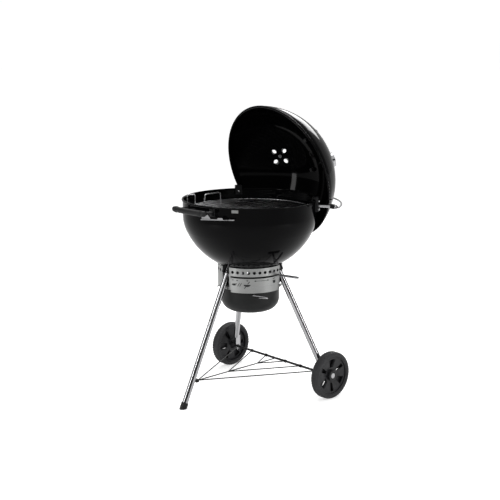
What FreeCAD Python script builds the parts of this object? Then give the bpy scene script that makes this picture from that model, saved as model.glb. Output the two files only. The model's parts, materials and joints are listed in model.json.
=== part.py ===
"""Kettle charcoal grill on a two-wheeled tripod, lid parked open in a fold-down holder.

Millimetres, +Z up, floor at zero. The left handle and the footed leg point to -X, the wheels
and the lid holder to +X, and the cook stands at -Y. Shapes are built about the bowl's axis,
then slid along X by BOWL_AXIS_X, so that the whole grill is centred on the origin.
"""
import os
import math
import FreeCAD
import Part

V = FreeCAD.Vector
X_AXIS = V(1, 0, 0)
Y_AXIS = V(0, 1, 0)
Z_AXIS = V(0, 0, 1)

# ---- driving sizes: bowl ---------------------------------------------------
BOWL_AXIS_X = -27.6
SHEET = 1.0
BOWL_RIM_Z = 851.0
BOWL_WALL_R = 285.5
BOWL_DEPTH = 312.0
BOWL_CORNER_R = 150.0
BOWL_FLATNESS = 12.5
BOWL_BEAD_R = 4.0
VENT_COUNT = 3
VENT_INNER_R = 34.0
VENT_OUTER_R = 104.0
VENT_HALF_ANGLE = 13.0

# ---- running gaps ----------------------------------------------------------
PIN_GAP = 0.3
BLADE_GAP = 0.6
REST_GAP = 0.5
TOUCH = 0.05

# ---- legs, foot, wheels ----------------------------------------------------
LEG_R = 12.5
LEG_WALL = 1.2
FOOT_BEYOND_RING = 242.1
LEG_TOP_INSET = 21.3
LEG_ANGLES = {"left": 180.0, "front": 300.0, "rear": 60.0}
FOOT_CAP_WALL = 2.5
FOOT_CAP_LENGTH = 24.0
SOCKET_CHEEK = 6.5
SOCKET_LENGTH = 27.5
WHEEL_R = 101.6
WHEEL_WIDTH = 40.0
WHEEL_STANDOFF = 22.2
TYRE_DEPTH = 17.0
WEB_THICKNESS = 5.0
HUB_R = 22.0
HUB_POCKET = 8.0
WINDOW_COUNT = 6
AXLE_R = 5.0
AXLE_RUN_GAP = 0.06
LEG_PLATE_THICKNESS = 12.0
LEG_PLATE_RISE = 50.4

# ---- bottom rack -----------------------------------------------------------
RACK_ABOVE_AXLE = 4.4
RACK_RAIL_R = 5.0
RACK_ROD_R = 2.4
RACK_APEX_STEP = 170.0
RACK_CHEVRONS = 3

# ---- ash ring, panel, bucket -----------------------------------------------
RING_R = 140.0
RING_WALL = 1.5
RING_HEIGHT = 96.0
RING_TO_BOWL = 3.9
RING_HOLE_R = 6.5
RING_HOLE_DROP = 18.5
RING_HOLE_PITCH = 9.82
RING_HOLES_PER_BAY = 10
SLOT_BELOW_BOWL = 8.0
SLOT_HEIGHT = 7.0
SLOT_START = 191.5
SLOT_END = 288.5
PANEL_START = 192.5
PANEL_END = 287.5
PANEL_OVERHANG = 9.0
PANEL_THICKNESS = 1.2
BUCKET_TO_RING = 13.0
BUCKET_LIP = 5.5
BUCKET_DEPTH = 125.0
BUCKET_IN_RING = 16.0
BUCKET_CORNER_R = 52.0
BUCKET_WIRE_R = 2.0

# ---- bottom vent sweeper ---------------------------------------------------
SHAFT_R = 5.0
SWEEPER_HUB_R = 17.0
LEVER_ANGLE = 283.4
LEVER_THICKNESS = 3.0
LEVER_NECK_WIDTH = 10.0
LEVER_GRIP_WIDTH = 19.0
LEVER_REACH = 108.0
BLADE_THICKNESS = 1.6
BLADE_OVERLAP_ANGLE = 5.0
BLADE_OVERLAP = 8.0

# ---- grates ----------------------------------------------------------------
GRATE_RING_R = 3.5
COAL_GRATE_DROP = 206.0
COAL_GRATE_CLEARANCE = 13.0
COAL_ROD_R = 3.0
COAL_ROD_PITCH = 24.0
COOK_GRATE_DROP = 48.0
COOK_GRATE_CLEARANCE = 14.3
COOK_ROD_R = 2.3
COOK_ROD_PITCH = 15.5
FLAP_HINGE_Y = 172.0
FLAP_GAP = 5.0
LIFT_LOOP_HEIGHT = 56.5
FLAP_LOOP_HEIGHT = 58.0
FLAP_LOOP_REACH = 35.0
LOOP_WIRE_R = 2.5

# ---- bowl handle and tool hook ---------------------------------------------
GRIP_STANDOFF = 53.5
GRIP_DROP = 22.0
GRIP_HALF_LENGTH = 91.0
GRIP_R = 12.0
HANDLE_BRACKET_Y = 80.0
HANDLE_ROD_R = 5.0
HOOK_BAR_DROP = 48.0

# ---- lid -------------------------------------------------------------------
LID_OVER_BOWL = 12.5
LID_CORNER_R = 60.0
LID_FLATNESS = 21.0
LID_SKIRT = 1.88
LID_BEAD_R = 5.0
LID_LEAN = 73.32
LID_REST_ANGLE = 54.19
LID_REST_GAP = 1.0
LID_VENT_POLAR = 29.9
LID_VENT_AZIMUTH = 87.0
LID_VENT_HOLES = 4
LID_VENT_HOLE_R = 11.5
LID_VENT_CIRCLE_R = 34.0
LID_DAMPER_MARGIN = 8.5
LID_DAMPER_TURN = 12.0
DAMPER_GAP = 0.5
DAMPER_SHEET = 1.5
RIVET_R = 4.5
LID_BOLT_SPAN = 70.0
LID_GRIP_STANDOFF = 54.0
LID_GRIP_R = 13.0
LID_GRIP_OVERHANG = 14.0
POST_R = 7.0
POST_FOOT_R = 13.0
THERMO_POLAR = 29.9
THERMO_AZIMUTH = -90.0
THERMO_R = 31.0
THERMO_RIM = 3.0
THERMO_HEIGHT = 13.0
THERMO_STEM_R = 6.2
THERMO_STEM_REACH = 55.0

# ---- fold-down lid holder --------------------------------------------------
HOLDER_ANGLE = 58.0
HOLDER_REACH = 73.0
HOLDER_DROP = 25.0
HOLDER_LID_GAP = 13.5
HOLDER_WIRE_R = 4.0
HOLDER_ARM_R = 6.0
HOLDER_END_R = 10.0
CLIP_THICKNESS = 13.0
CLIP_WIDTH = 30.0

# ---- sizes that follow from the ones above ---------------------------------
BOWL_SPHERE_R = BOWL_WALL_R + BOWL_FLATNESS
BOWL_SPHERE_Z = BOWL_RIM_Z - BOWL_DEPTH + BOWL_SPHERE_R


def bowl_height_at(radius):
    """Height of the bowl's outer face at a radius within its round bottom."""
    return BOWL_SPHERE_Z - math.sqrt(BOWL_SPHERE_R ** 2 - radius ** 2)


def bowl_inner_radius(z):
    """Inner radius of the bowl's round bottom at a height."""
    return math.sqrt((BOWL_SPHERE_R - SHEET) ** 2 - (BOWL_SPHERE_Z - z) ** 2)


FOOT_REACH = RING_R + FOOT_BEYOND_RING
LEG_TOP_REACH = RING_R - LEG_TOP_INSET
LEG_TOP_Z = bowl_height_at(LEG_TOP_REACH)
LEG_SLOPE = (FOOT_REACH - LEG_TOP_REACH) / LEG_TOP_Z


def leg_reach(z):
    """Distance of a leg's centreline from the bowl's axis at a height."""
    return FOOT_REACH - LEG_SLOPE * z


LEG_STEEPNESS = math.cos(math.atan(LEG_SLOPE))
LEG_HALF_SPAN = LEG_R / LEG_STEEPNESS
LEG_PLATE_WIDTH = 2 * LEG_R + 1.0
LEG_PLATE_TOP_Z = WHEEL_R + LEG_PLATE_RISE
RACK_Z = WHEEL_R + RACK_ABOVE_AXLE
WHEEL_TURN = math.radians(LEG_ANGLES["rear"])
WHEEL_X = leg_reach(WHEEL_R) * math.cos(WHEEL_TURN)
LEG_PLATE_Y = leg_reach(LEG_PLATE_TOP_Z) * math.sin(WHEEL_TURN) + 4.6
WHEEL_Y = LEG_PLATE_Y + LEG_PLATE_THICKNESS / 2 + WHEEL_STANDOFF + WHEEL_WIDTH / 2
RACK_RAIL_X = WHEEL_X - AXLE_R - RACK_RAIL_R - 5.3
RING_TOP_Z = bowl_height_at(RING_R) - RING_TO_BOWL
RING_LOW_Z = RING_TOP_Z - RING_HEIGHT
SLOT_Z = BOWL_RIM_Z - BOWL_DEPTH - SLOT_BELOW_BOWL
PANEL_LOW_Z = RING_LOW_Z - PANEL_OVERHANG
BUCKET_R = RING_R - RING_WALL - BUCKET_TO_RING
BUCKET_TOP_Z = RING_LOW_Z + BUCKET_IN_RING
BUCKET_LOW_Z = BUCKET_TOP_Z - BUCKET_DEPTH
BLADE_OUTER_R = VENT_OUTER_R + BLADE_OVERLAP
BLADE_HALF_ANGLE = VENT_HALF_ANGLE + BLADE_OVERLAP_ANGLE
LEVER_TIP_R = RING_R + LEVER_REACH
COAL_GRATE_Z = BOWL_RIM_Z - COAL_GRATE_DROP
COAL_GRATE_R = bowl_inner_radius(COAL_GRATE_Z) - COAL_GRATE_CLEARANCE
COOK_GRATE_Z = BOWL_RIM_Z - COOK_GRATE_DROP
COOK_GRATE_R = BOWL_WALL_R - SHEET - GRATE_RING_R - COOK_GRATE_CLEARANCE
GRIP_X = -BOWL_WALL_R - GRIP_STANDOFF
GRIP_Z = BOWL_RIM_Z - GRIP_DROP
HANDLE_PAD_ANGLE = math.degrees(math.asin(HANDLE_BRACKET_Y / BOWL_WALL_R))
HOOK_BAR_Z = BOWL_RIM_Z - HOOK_BAR_DROP
LID_WALL_R = BOWL_WALL_R + LID_OVER_BOWL
LID_SPHERE_R = LID_WALL_R + LID_FLATNESS
LID_CORNER_RISE = math.sqrt((LID_SPHERE_R - LID_CORNER_R) ** 2 - (LID_WALL_R - LID_CORNER_R) ** 2)
LID_SPHERE_BELOW_RIM = LID_CORNER_RISE - LID_SKIRT
LID_DAMPER_R = LID_VENT_CIRCLE_R + LID_VENT_HOLE_R + LID_DAMPER_MARGIN
LID_GRIP_HALF_LENGTH = LID_BOLT_SPAN + LID_GRIP_OVERHANG
REST_TURN = math.radians(LID_REST_ANGLE)
LEAN_TURN = math.radians(LID_LEAN)
LID_REST_R = BOWL_SPHERE_R + LID_BEAD_R + LID_REST_GAP
LID_RIM_CENTRE = V(
    LID_REST_R * math.sin(REST_TURN) - LID_WALL_R * math.cos(LEAN_TURN),
    0,
    BOWL_SPHERE_Z - LID_REST_R * math.cos(REST_TURN) + LID_WALL_R * math.sin(LEAN_TURN),
)
LID_SPHERE_X = LID_RIM_CENTRE.x - LID_SPHERE_BELOW_RIM * math.sin(LEAN_TURN)
LID_SPHERE_Z = LID_RIM_CENTRE.z - LID_SPHERE_BELOW_RIM * math.cos(LEAN_TURN)
HOLDER_PIVOT_X = (BOWL_WALL_R + HOLDER_REACH) * math.cos(math.radians(HOLDER_ANGLE))
HOLDER_PIVOT_Z = BOWL_RIM_Z - HOLDER_DROP
HOLDER_ARC_R = HOLDER_LID_GAP + LID_SPHERE_X + math.sqrt(
    (LID_SPHERE_R + HOLDER_WIRE_R) ** 2 - (LID_SPHERE_Z - HOLDER_PIVOT_Z) ** 2
)


# ---- small helpers ---------------------------------------------------------
def polar(radius, angle, z):
    turn = math.radians(angle)
    return V(radius * math.cos(turn), radius * math.sin(turn), z)


def rod(start, end, radius):
    along = end.sub(start)
    return Part.makeCylinder(radius, along.Length, start, along)


def ball(centre, radius):
    return Part.makeSphere(radius, centre)


def wire_run(points, radius):
    """Round wire through the points, with a ball at each bend."""
    pieces = [rod(a, b, radius) for a, b in zip(points, points[1:])]
    pieces += [ball(p, radius) for p in points]
    return fuse(pieces)


def fuse(pieces):
    whole = pieces[0]
    if len(pieces) > 1:
        whole = whole.fuse(pieces[1:])
    return whole.removeSplitter()


def tube(outer_r, inner_r, low_z, high_z):
    outer = Part.makeCylinder(outer_r, high_z - low_z, V(0, 0, low_z))
    inner = Part.makeCylinder(inner_r, high_z - low_z + 2, V(0, 0, low_z - 1))
    return outer.cut(inner)


def sector(radius, low_z, high_z, start, end):
    """Pie slice about the bowl's axis."""
    slice_solid = Part.makeCylinder(radius, high_z - low_z, V(0, 0, low_z), Z_AXIS, end - start)
    slice_solid.rotate(V(0, 0, 0), Z_AXIS, start)
    return slice_solid


def centred_box(length, width, height, centre):
    corner = V(centre.x - length / 2, centre.y - width / 2, centre.z - height / 2)
    return Part.makeBox(length, width, height, corner)


def polygon_prism(points, direction):
    outline = Part.makePolygon(points + [points[0]])
    return Part.Face(outline).extrude(direction)


def turned(shape, angle, centre=V(0, 0, 0), axis=Z_AXIS):
    copy = shape.copy()
    copy.rotate(centre, axis, angle)
    return copy


def mirrored_y(shape):
    return shape.mirror(V(0, 0, 0), Y_AXIS)


def dish(wall_r, corner_r, sphere_r, sphere_z, end_z, side):
    """Solid of a domed dish about Z: straight wall, corner arc, then a cap of a sphere.

    side is +1 for a cap that points up and -1 for one that points down.
    """
    corner_x = wall_r - corner_r
    corner_z = sphere_z + side * math.sqrt((sphere_r - corner_r) ** 2 - corner_x ** 2)
    lean = math.atan2(corner_x, side * (corner_z - sphere_z))
    join = V(sphere_r * math.sin(lean), 0, sphere_z + side * sphere_r * math.cos(lean))
    cap_mid = V(sphere_r * math.sin(lean / 2), 0, sphere_z + side * sphere_r * math.cos(lean / 2))
    apex = V(0, 0, sphere_z + side * sphere_r)
    half = (lean + math.pi / 2) / 2
    corner_mid = V(corner_x + corner_r * math.sin(half), 0, corner_z + side * corner_r * math.cos(half))
    wall_start = V(wall_r, 0, corner_z)
    wall_end = V(wall_r, 0, end_z)
    edges = [
        Part.Arc(apex, cap_mid, join).toShape(),
        Part.Arc(join, corner_mid, wall_start).toShape(),
        Part.makeLine(wall_start, wall_end),
        Part.makeLine(wall_end, V(0, 0, end_z)),
        Part.makeLine(V(0, 0, end_z), apex),
    ]
    return Part.Face(Part.Wire(edges)).revolve(V(0, 0, 0), Z_AXIS, 360)


# ---- bowl ------------------------------------------------------------------
def bowl_outside():
    return dish(BOWL_WALL_R, BOWL_CORNER_R, BOWL_SPHERE_R, BOWL_SPHERE_Z, BOWL_RIM_Z - BOWL_BEAD_R, -1)


def bowl_inside():
    top = BOWL_RIM_Z + 1
    return dish(
        BOWL_WALL_R - SHEET, BOWL_CORNER_R - SHEET, BOWL_SPHERE_R - SHEET, BOWL_SPHERE_Z, top, -1
    )


def bowl_bead():
    return Part.makeTorus(BOWL_WALL_R + 0.5, BOWL_BEAD_R, V(0, 0, BOWL_RIM_Z - BOWL_BEAD_R))


def bowl_floor():
    return BOWL_RIM_Z - BOWL_DEPTH


def vent_cutter(index):
    centre = index * 360.0 / VENT_COUNT
    low_z = bowl_floor() - 20
    wedge = sector(VENT_OUTER_R, low_z, low_z + 80, centre - VENT_HALF_ANGLE, centre + VENT_HALF_ANGLE)
    return wedge.cut(Part.makeCylinder(VENT_INNER_R, 100, V(0, 0, low_z - 10)))


def bowl():
    shell = bowl_outside().cut(bowl_inside()).fuse(bowl_bead())
    bore = Part.makeCylinder(SHAFT_R + PIN_GAP, 40, V(0, 0, bowl_floor() - 20))
    return shell.cut([bore] + [vent_cutter(i) for i in range(VENT_COUNT)])


def bowl_badge():
    plate = sector(BOWL_WALL_R + TOUCH + 1.0, BOWL_RIM_Z - 21, BOWL_RIM_Z - 9, 213.0, 218.5)
    return plate.cut(Part.makeCylinder(BOWL_WALL_R + TOUCH, 40, V(0, 0, BOWL_RIM_Z - 30)))


def cook_supports():
    top_z = COOK_GRATE_Z - GRATE_RING_R - REST_GAP
    tabs = []
    for angle in (20, 160, 200, 340):
        shelf = centred_box(34, 24, 3, V(BOWL_WALL_R - 17, 0, top_z - 1.5))
        root = centred_box(3, 24, 26, V(BOWL_WALL_R - SHEET - 3.2, 0, top_z - 13))
        tabs.append(turned(fuse([shelf, root]), angle))
    return Part.makeCompound([t.common(bowl_inside()) for t in tabs])


def coal_supports():
    top_z = COAL_GRATE_Z - GRATE_RING_R - TOUCH
    tabs = []
    for angle in (45, 135, 225, 315):
        shelf = centred_box(50, 26, 4, V(COAL_GRATE_R + 15, 0, top_z - 2))
        tabs.append(turned(shelf, angle).common(bowl_inside()))
    return Part.makeCompound(tabs)


# ---- legs and sockets ------------------------------------------------------
def leg_point(z, offset=0.0):
    """Point on the centreline of a leg that points along +X."""
    return V(leg_reach(z) + offset, 0, z)


def leg_axis():
    return V(-LEG_SLOPE, 0, 1)


def leg_bar(low_z, high_z, radius):
    return rod(leg_point(low_z), leg_point(high_z), radius)


def leg_tube(low_z):
    top_z = LEG_TOP_Z + 12
    solid = leg_bar(low_z, top_z, LEG_R).cut(leg_bar(low_z - 1, top_z + 1, LEG_R - LEG_WALL))
    dome = Part.makeSphere(BOWL_SPHERE_R + TOUCH, V(0, 0, BOWL_SPHERE_Z))
    return solid.cut(dome)


def foot_leg():
    return turned(leg_tube(6.0), LEG_ANGLES["left"])


def foot_cap():
    cap = leg_bar(-12.0, FOOT_CAP_LENGTH, LEG_R + FOOT_CAP_WALL)
    recess = leg_bar(6.0 - TOUCH, FOOT_CAP_LENGTH + 5, LEG_R + TOUCH)
    floor = centred_box(200, 200, 60, V(FOOT_REACH, 0, -30))
    return turned(cap.cut([recess, floor]), LEG_ANGLES["left"])


def wheel_leg():
    """Front leg: a tube that ends in a flat plate for the wheel bolt."""
    tube_part = turned(leg_tube(LEG_PLATE_TOP_Z - 30), LEG_ANGLES["front"])
    below = centred_box(400, 400, 60, V(WHEEL_X, -LEG_PLATE_Y, LEG_PLATE_TOP_Z - 36))
    tube_part = tube_part.cut(below)
    height = LEG_PLATE_TOP_Z - WHEEL_R
    plate = centred_box(
        LEG_PLATE_WIDTH, LEG_PLATE_THICKNESS, height, V(WHEEL_X - 2, -LEG_PLATE_Y, WHEEL_R + height / 2)
    )
    low_end = Part.makeCylinder(
        LEG_PLATE_WIDTH / 2, LEG_PLATE_THICKNESS,
        V(WHEEL_X - 2, -LEG_PLATE_Y - LEG_PLATE_THICKNESS / 2, WHEEL_R), Y_AXIS
    )
    whole = fuse([tube_part, plate, low_end])
    hole_start = V(WHEEL_X, -LEG_PLATE_Y - 30, WHEEL_R)
    return whole.cut(rod(hole_start, hole_start + V(0, 60, 0), AXLE_R + TOUCH))


def socket_width():
    return 2 * (LEG_R + SOCKET_CHEEK)


def socket():
    """Angular black bracket around the top of a leg, open outwards."""
    low_z = LEG_TOP_Z - SOCKET_LENGTH
    high_z = LEG_TOP_Z + 26
    middle_z = (low_z + high_z) / 2
    block = centred_box(2 * LEG_R + 9, socket_width(), high_z - low_z, V(0, 0, 0))
    block = turned(block, -math.degrees(math.atan(LEG_SLOPE)), V(0, 0, 0), Y_AXIS)
    block.translate(leg_point(middle_z, -1.0))
    bore = leg_bar(low_z - 60, high_z + 30, LEG_R + TOUCH)
    window = leg_bar(low_z - 60, high_z + 30, 0.68 * LEG_R)
    wide_window = window.copy()
    window.translate(V(LEG_R, 0, 0))
    wide_window.translate(V(LEG_R + 8, 0, 0))
    dome = Part.makeSphere(BOWL_SPHERE_R + TOUCH, V(0, 0, BOWL_SPHERE_Z))
    return block.cut([bore, window, wide_window, dome])


# ---- wheels and axles ------------------------------------------------------
def wheel_about_y(shape):
    """Stand a wheel built about Z on the front axle, outer face towards -Y."""
    stood = turned(shape, 90, V(0, 0, 0), X_AXIS)
    stood.translate(V(WHEEL_X, -WHEEL_Y, WHEEL_R))
    return stood


def rounded_ring(outer_r, inner_r, half_width, rounding):
    ring = tube(outer_r, inner_r, -half_width, half_width)
    rims = [e for e in ring.Edges if abs(e.BoundBox.XLength - 2 * outer_r) < 0.1 and e.BoundBox.ZLength < 0.1]
    return ring.makeFillet(rounding, rims)


def tyre():
    return wheel_about_y(rounded_ring(WHEEL_R, WHEEL_R - TYRE_DEPTH, WHEEL_WIDTH / 2, 7.0))


def window_cutter(angle, half_angle, inner_r, outer_r):
    wedge = sector(outer_r, -30, 30, angle - half_angle, angle + half_angle)
    return wedge.cut(Part.makeCylinder(inner_r, 80, V(0, 0, -40)))


def wheel_centre():
    """Moulded centre: rim, dished web with windows, radial ribs and a long hub."""
    rim_r = WHEEL_R - TYRE_DEPTH - TOUCH
    half = WHEEL_WIDTH / 2
    rim = tube(rim_r, rim_r - 6.0, -half + 2, half - 2)
    near, far = HUB_R - 2, rim_r - 3
    corners = [V(near, 0, 3), V(far, 0, 12), V(far, 0, 12 - WEB_THICKNESS), V(near, 0, 3 - WEB_THICKNESS)]
    web = Part.Face(Part.makePolygon(corners + [corners[0]])).revolve(V(0, 0, 0), Z_AXIS, 360)
    inner_reach = WHEEL_STANDOFF + half - REST_GAP
    hub = Part.makeCylinder(HUB_R, half + 6, V(0, 0, -8.0))
    boss = Part.makeCylinder(HUB_R - 9, inner_reach, V(0, 0, -inner_reach))
    solid = fuse([rim, web, hub, boss])
    cutters = []
    for i in range(WINDOW_COUNT):
        angle = i * 360.0 / WINDOW_COUNT
        cutters.append(window_cutter(angle, 16.0 if i % 2 == 0 else 9.0, HUB_R + 10, rim_r - 12))
    cutters.append(Part.makeCylinder(AXLE_R + AXLE_RUN_GAP, 200, V(0, 0, -100)))
    cutters.append(Part.makeCylinder(HUB_R - 7, HUB_POCKET + 2, V(0, 0, half - HUB_POCKET)))
    solid = solid.cut(cutters)
    ribs = []
    for i in range(WINDOW_COUNT * 2):
        angle = (i + 0.5) * 180.0 / WINDOW_COUNT
        rib = centred_box(rim_r - HUB_R - 2, 4, 16, V((rim_r + HUB_R) / 2, 0, -2.0))
        ribs.append(turned(rib, angle))
    return wheel_about_y(fuse([solid] + ribs))


def axle():
    """Shouldered bolt through the leg plate, with a low head inside and a cap outside."""
    inner_y = -LEG_PLATE_Y + LEG_PLATE_THICKNESS / 2
    pocket_y = -WHEEL_Y - WHEEL_WIDTH / 2 + HUB_POCKET - REST_GAP
    outer_y = pocket_y - 5.0
    shank = rod(V(WHEEL_X, inner_y + 4, WHEEL_R), V(WHEEL_X, outer_y, WHEEL_R), AXLE_R)
    head = rod(V(WHEEL_X, inner_y + TOUCH, WHEEL_R), V(WHEEL_X, inner_y + 4, WHEEL_R), AXLE_R + 2.0)
    cap = rod(V(WHEEL_X, pocket_y, WHEEL_R), V(WHEEL_X, outer_y, WHEEL_R), AXLE_R + 6.0)
    return fuse([shank, head, cap])


# ---- bottom rack -----------------------------------------------------------
def bottom_rack():
    rail_end = LEG_PLATE_Y - LEG_PLATE_THICKNESS / 2 - TOUCH
    rail = rod(V(RACK_RAIL_X, -rail_end, RACK_Z), V(RACK_RAIL_X, rail_end, RACK_Z), RACK_RAIL_R)
    leg_face = leg_reach(RACK_Z) - LEG_HALF_SPAN - TOUCH
    pieces = [rail, rod(V(-leg_face + 3, 0, RACK_Z), V(RACK_RAIL_X, 0, RACK_Z), RACK_ROD_R)]
    pieces.append(centred_box(14, 16, 12, V(-leg_face + 12, 0, RACK_Z)))
    first_apex = -leg_face + 19
    for i in range(RACK_CHEVRONS):
        apex_x = first_apex + i * RACK_APEX_STEP
        spread = (rail_end - 16) * (RACK_RAIL_X - apex_x) / (RACK_RAIL_X - first_apex)
        for side in (-1, 1):
            end = V(RACK_RAIL_X, side * spread, RACK_Z)
            pieces.append(rod(V(apex_x, 0, RACK_Z), end, RACK_ROD_R))
            collar_start = V(RACK_RAIL_X, side * spread - 5, RACK_Z)
            collar = rod(collar_start, collar_start + V(0, 10, 0), RACK_RAIL_R + 2.0)
            pieces.append(collar)
    return fuse(pieces)


# ---- ash ring, panel and bucket --------------------------------------------
def leg_notches():
    """Windows where the legs pass in through the ring, from just below where each leg meets it."""
    low_z = (FOOT_REACH - LEG_HALF_SPAN - RING_R - 1.5) / LEG_SLOPE
    width = socket_width() + 3
    boxes = []
    for angle in LEG_ANGLES.values():
        notch = Part.makeBox(60, width, 150, V(RING_R - 30, -width / 2, low_z))
        boxes.append(turned(notch, angle))
    return boxes


def ring_holes():
    holes = []
    for bay in (0.0, 120.0, 240.0):
        for i in range(RING_HOLES_PER_BAY):
            angle = bay + (i - (RING_HOLES_PER_BAY - 1) / 2) * RING_HOLE_PITCH
            z = RING_TOP_Z - RING_HOLE_DROP
            holes.append(rod(polar(RING_R - 10, angle, z), polar(RING_R + 10, angle, z), RING_HOLE_R))
    return holes


def lever_slot():
    return sector(RING_R + 20, SLOT_Z - SLOT_HEIGHT / 2, SLOT_Z + SLOT_HEIGHT / 2, SLOT_START, SLOT_END)


def ash_ring():
    band = tube(RING_R, RING_R - RING_WALL, RING_LOW_Z, RING_TOP_Z)
    return band.cut(leg_notches() + ring_holes() + [lever_slot()])


def control_panel():
    outer_r = RING_R + TOUCH + PANEL_THICKNESS
    top_z = SLOT_Z - SLOT_HEIGHT / 2
    plate = sector(outer_r, PANEL_LOW_Z, top_z, PANEL_START, PANEL_END)
    return plate.cut(Part.makeCylinder(RING_R + TOUCH, 200, V(0, 0, PANEL_LOW_Z - 20)))


def ring_hook():
    start = polar(RING_R + TOUCH, 160, RING_LOW_Z + 6)
    mid = polar(RING_R + 9, 160, RING_LOW_Z + 6)
    end = polar(RING_R + 11, 160, RING_LOW_Z + 1)
    inside = Part.makeCylinder(RING_R + TOUCH, 300, V(0, 0, RING_LOW_Z - 80))
    return wire_run([start, mid, end], BUCKET_WIRE_R).cut(inside)


def bucket_profile(radius, corner_r, low_z, top_z):
    corner = V(radius - corner_r, 0, low_z + corner_r)
    mid = V(corner.x + corner_r * math.sin(math.pi / 4), 0, corner.z - corner_r * math.cos(math.pi / 4))
    edges = [
        Part.makeLine(V(0, 0, low_z), V(corner.x, 0, low_z)),
        Part.Arc(V(corner.x, 0, low_z), mid, V(radius, 0, corner.z)).toShape(),
        Part.makeLine(V(radius, 0, corner.z), V(radius, 0, top_z)),
        Part.makeLine(V(radius, 0, top_z), V(0, 0, top_z)),
        Part.makeLine(V(0, 0, top_z), V(0, 0, low_z)),
    ]
    return Part.Face(Part.Wire(edges)).revolve(V(0, 0, 0), Z_AXIS, 360)


def ash_bucket():
    outside = bucket_profile(BUCKET_R, BUCKET_CORNER_R, BUCKET_LOW_Z, BUCKET_TOP_Z)
    lip_wire = 0.6 * BUCKET_LIP
    lip = Part.makeTorus(BUCKET_R + BUCKET_LIP - lip_wire, lip_wire, V(0, 0, BUCKET_TOP_Z - lip_wire))
    inside = bucket_profile(BUCKET_R - SHEET, BUCKET_CORNER_R - SHEET, BUCKET_LOW_Z + SHEET, BUCKET_TOP_Z + 1)
    return outside.fuse(lip).cut(inside)


def bucket_handle():
    """Squeeze wire that lets the bucket down, sprung out to one side below the panel."""
    top_z = PANEL_LOW_Z - BUCKET_WIRE_R - 4
    points = [
        polar(BUCKET_R + TOUCH + 2, 231.5, top_z),
        polar(BUCKET_R + 22.5, 232.5, top_z - 1),
        polar(BUCKET_R + 48.5, 249.0, top_z - 5),
        polar(BUCKET_R + 47.5, 252.5, top_z - 12),
        polar(BUCKET_R + 22.5, 243.0, top_z - 13),
        polar(BUCKET_R + TOUCH + 2, 241.5, top_z - 13),
    ]
    wire = wire_run(points, BUCKET_WIRE_R)
    return wire.cut(Part.makeCylinder(BUCKET_R + TOUCH, 300, V(0, 0, BUCKET_LOW_Z - 60)))


# ---- bottom vent sweeper ---------------------------------------------------
def shaft():
    stem = rod(V(0, 0, SLOT_Z - 4), V(0, 0, bowl_floor() + SHEET + 16), SHAFT_R)
    hub_low = bowl_floor() + SHEET + BLADE_GAP
    hub = rod(V(0, 0, hub_low), V(0, 0, hub_low + 12), SWEEPER_HUB_R)
    return fuse([stem, hub])


def sweeper_blade(index):
    outer_r = BOWL_SPHERE_R - SHEET - BLADE_GAP
    centre = V(0, 0, BOWL_SPHERE_Z)
    skin = Part.makeSphere(outer_r, centre).cut(Part.makeSphere(outer_r - BLADE_THICKNESS, centre))
    angle = index * 360.0 / VENT_COUNT
    low_z = bowl_floor() - 40
    plan = sector(BLADE_OUTER_R, low_z, low_z + 140, angle - BLADE_HALF_ANGLE, angle + BLADE_HALF_ANGLE)
    hub_clear = Part.makeCylinder(SWEEPER_HUB_R, 200, V(0, 0, low_z - 20))
    edge_x = BLADE_OUTER_R - 14
    fold = centred_box(edge_x - 20, 2.0, 14, V((edge_x + 20) / 2, 0, 0))
    fold = turned(fold, -math.degrees(math.asin(0.2)), V(0, 0, 0), Y_AXIS)
    fold.translate(V(0, 0, BOWL_SPHERE_Z - outer_r))
    fold = turned(fold, angle).cut(hub_clear)
    fold = fold.common(Part.makeSphere(outer_r - 0.2, centre))
    return fuse([skin.common(plan).cut(hub_clear), fold])


def sweeper_blades():
    blades = [sweeper_blade(i) for i in range(VENT_COUNT)]
    return Part.makeCompound(blades)


def damper_lever():
    low_z = SLOT_Z - LEVER_THICKNESS / 2
    hub = Part.makeCylinder(12.0, LEVER_THICKNESS, V(0, 0, low_z))
    outline = [
        V(0, -LEVER_NECK_WIDTH / 2, low_z), V(RING_R + 6, -LEVER_NECK_WIDTH / 2, low_z),
        V(RING_R + 30, -LEVER_GRIP_WIDTH / 2, low_z), V(LEVER_TIP_R - 18, -LEVER_GRIP_WIDTH / 2, low_z),
        V(LEVER_TIP_R - 5, -LEVER_GRIP_WIDTH / 3, low_z), V(LEVER_TIP_R, 0, low_z),
        V(LEVER_TIP_R - 5, LEVER_GRIP_WIDTH / 3, low_z), V(LEVER_TIP_R - 18, LEVER_GRIP_WIDTH / 2, low_z),
        V(RING_R + 30, LEVER_GRIP_WIDTH / 2, low_z), V(RING_R + 6, LEVER_NECK_WIDTH / 2, low_z),
        V(0, LEVER_NECK_WIDTH / 2, low_z),
    ]
    blade = polygon_prism(outline, V(0, 0, LEVER_THICKNESS))
    swell = Part.makeCylinder(5.5, LEVER_TIP_R - RING_R - 45, V(RING_R + 34, 0, SLOT_Z), X_AXIS)
    whole = fuse([hub, blade, swell])
    bore = Part.makeCylinder(SHAFT_R + TOUCH, 20, V(0, 0, SLOT_Z - 10))
    return turned(whole.cut(bore), LEVER_ANGLE)


# ---- grates ----------------------------------------------------------------
def chord_half(radius, offset):
    return math.sqrt(radius ** 2 - offset ** 2)


def parallel_rods(ring_r, rod_r, z, pitch, limit):
    """Rods along X, one every pitch, out to the limit on either side."""
    rods = []
    count = int(limit / pitch)
    for i in range(-count, count + 1):
        y = i * pitch
        half = chord_half(ring_r, y)
        rods.append(rod(V(-half, y, z), V(half, y, z), rod_r))
    return rods


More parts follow.
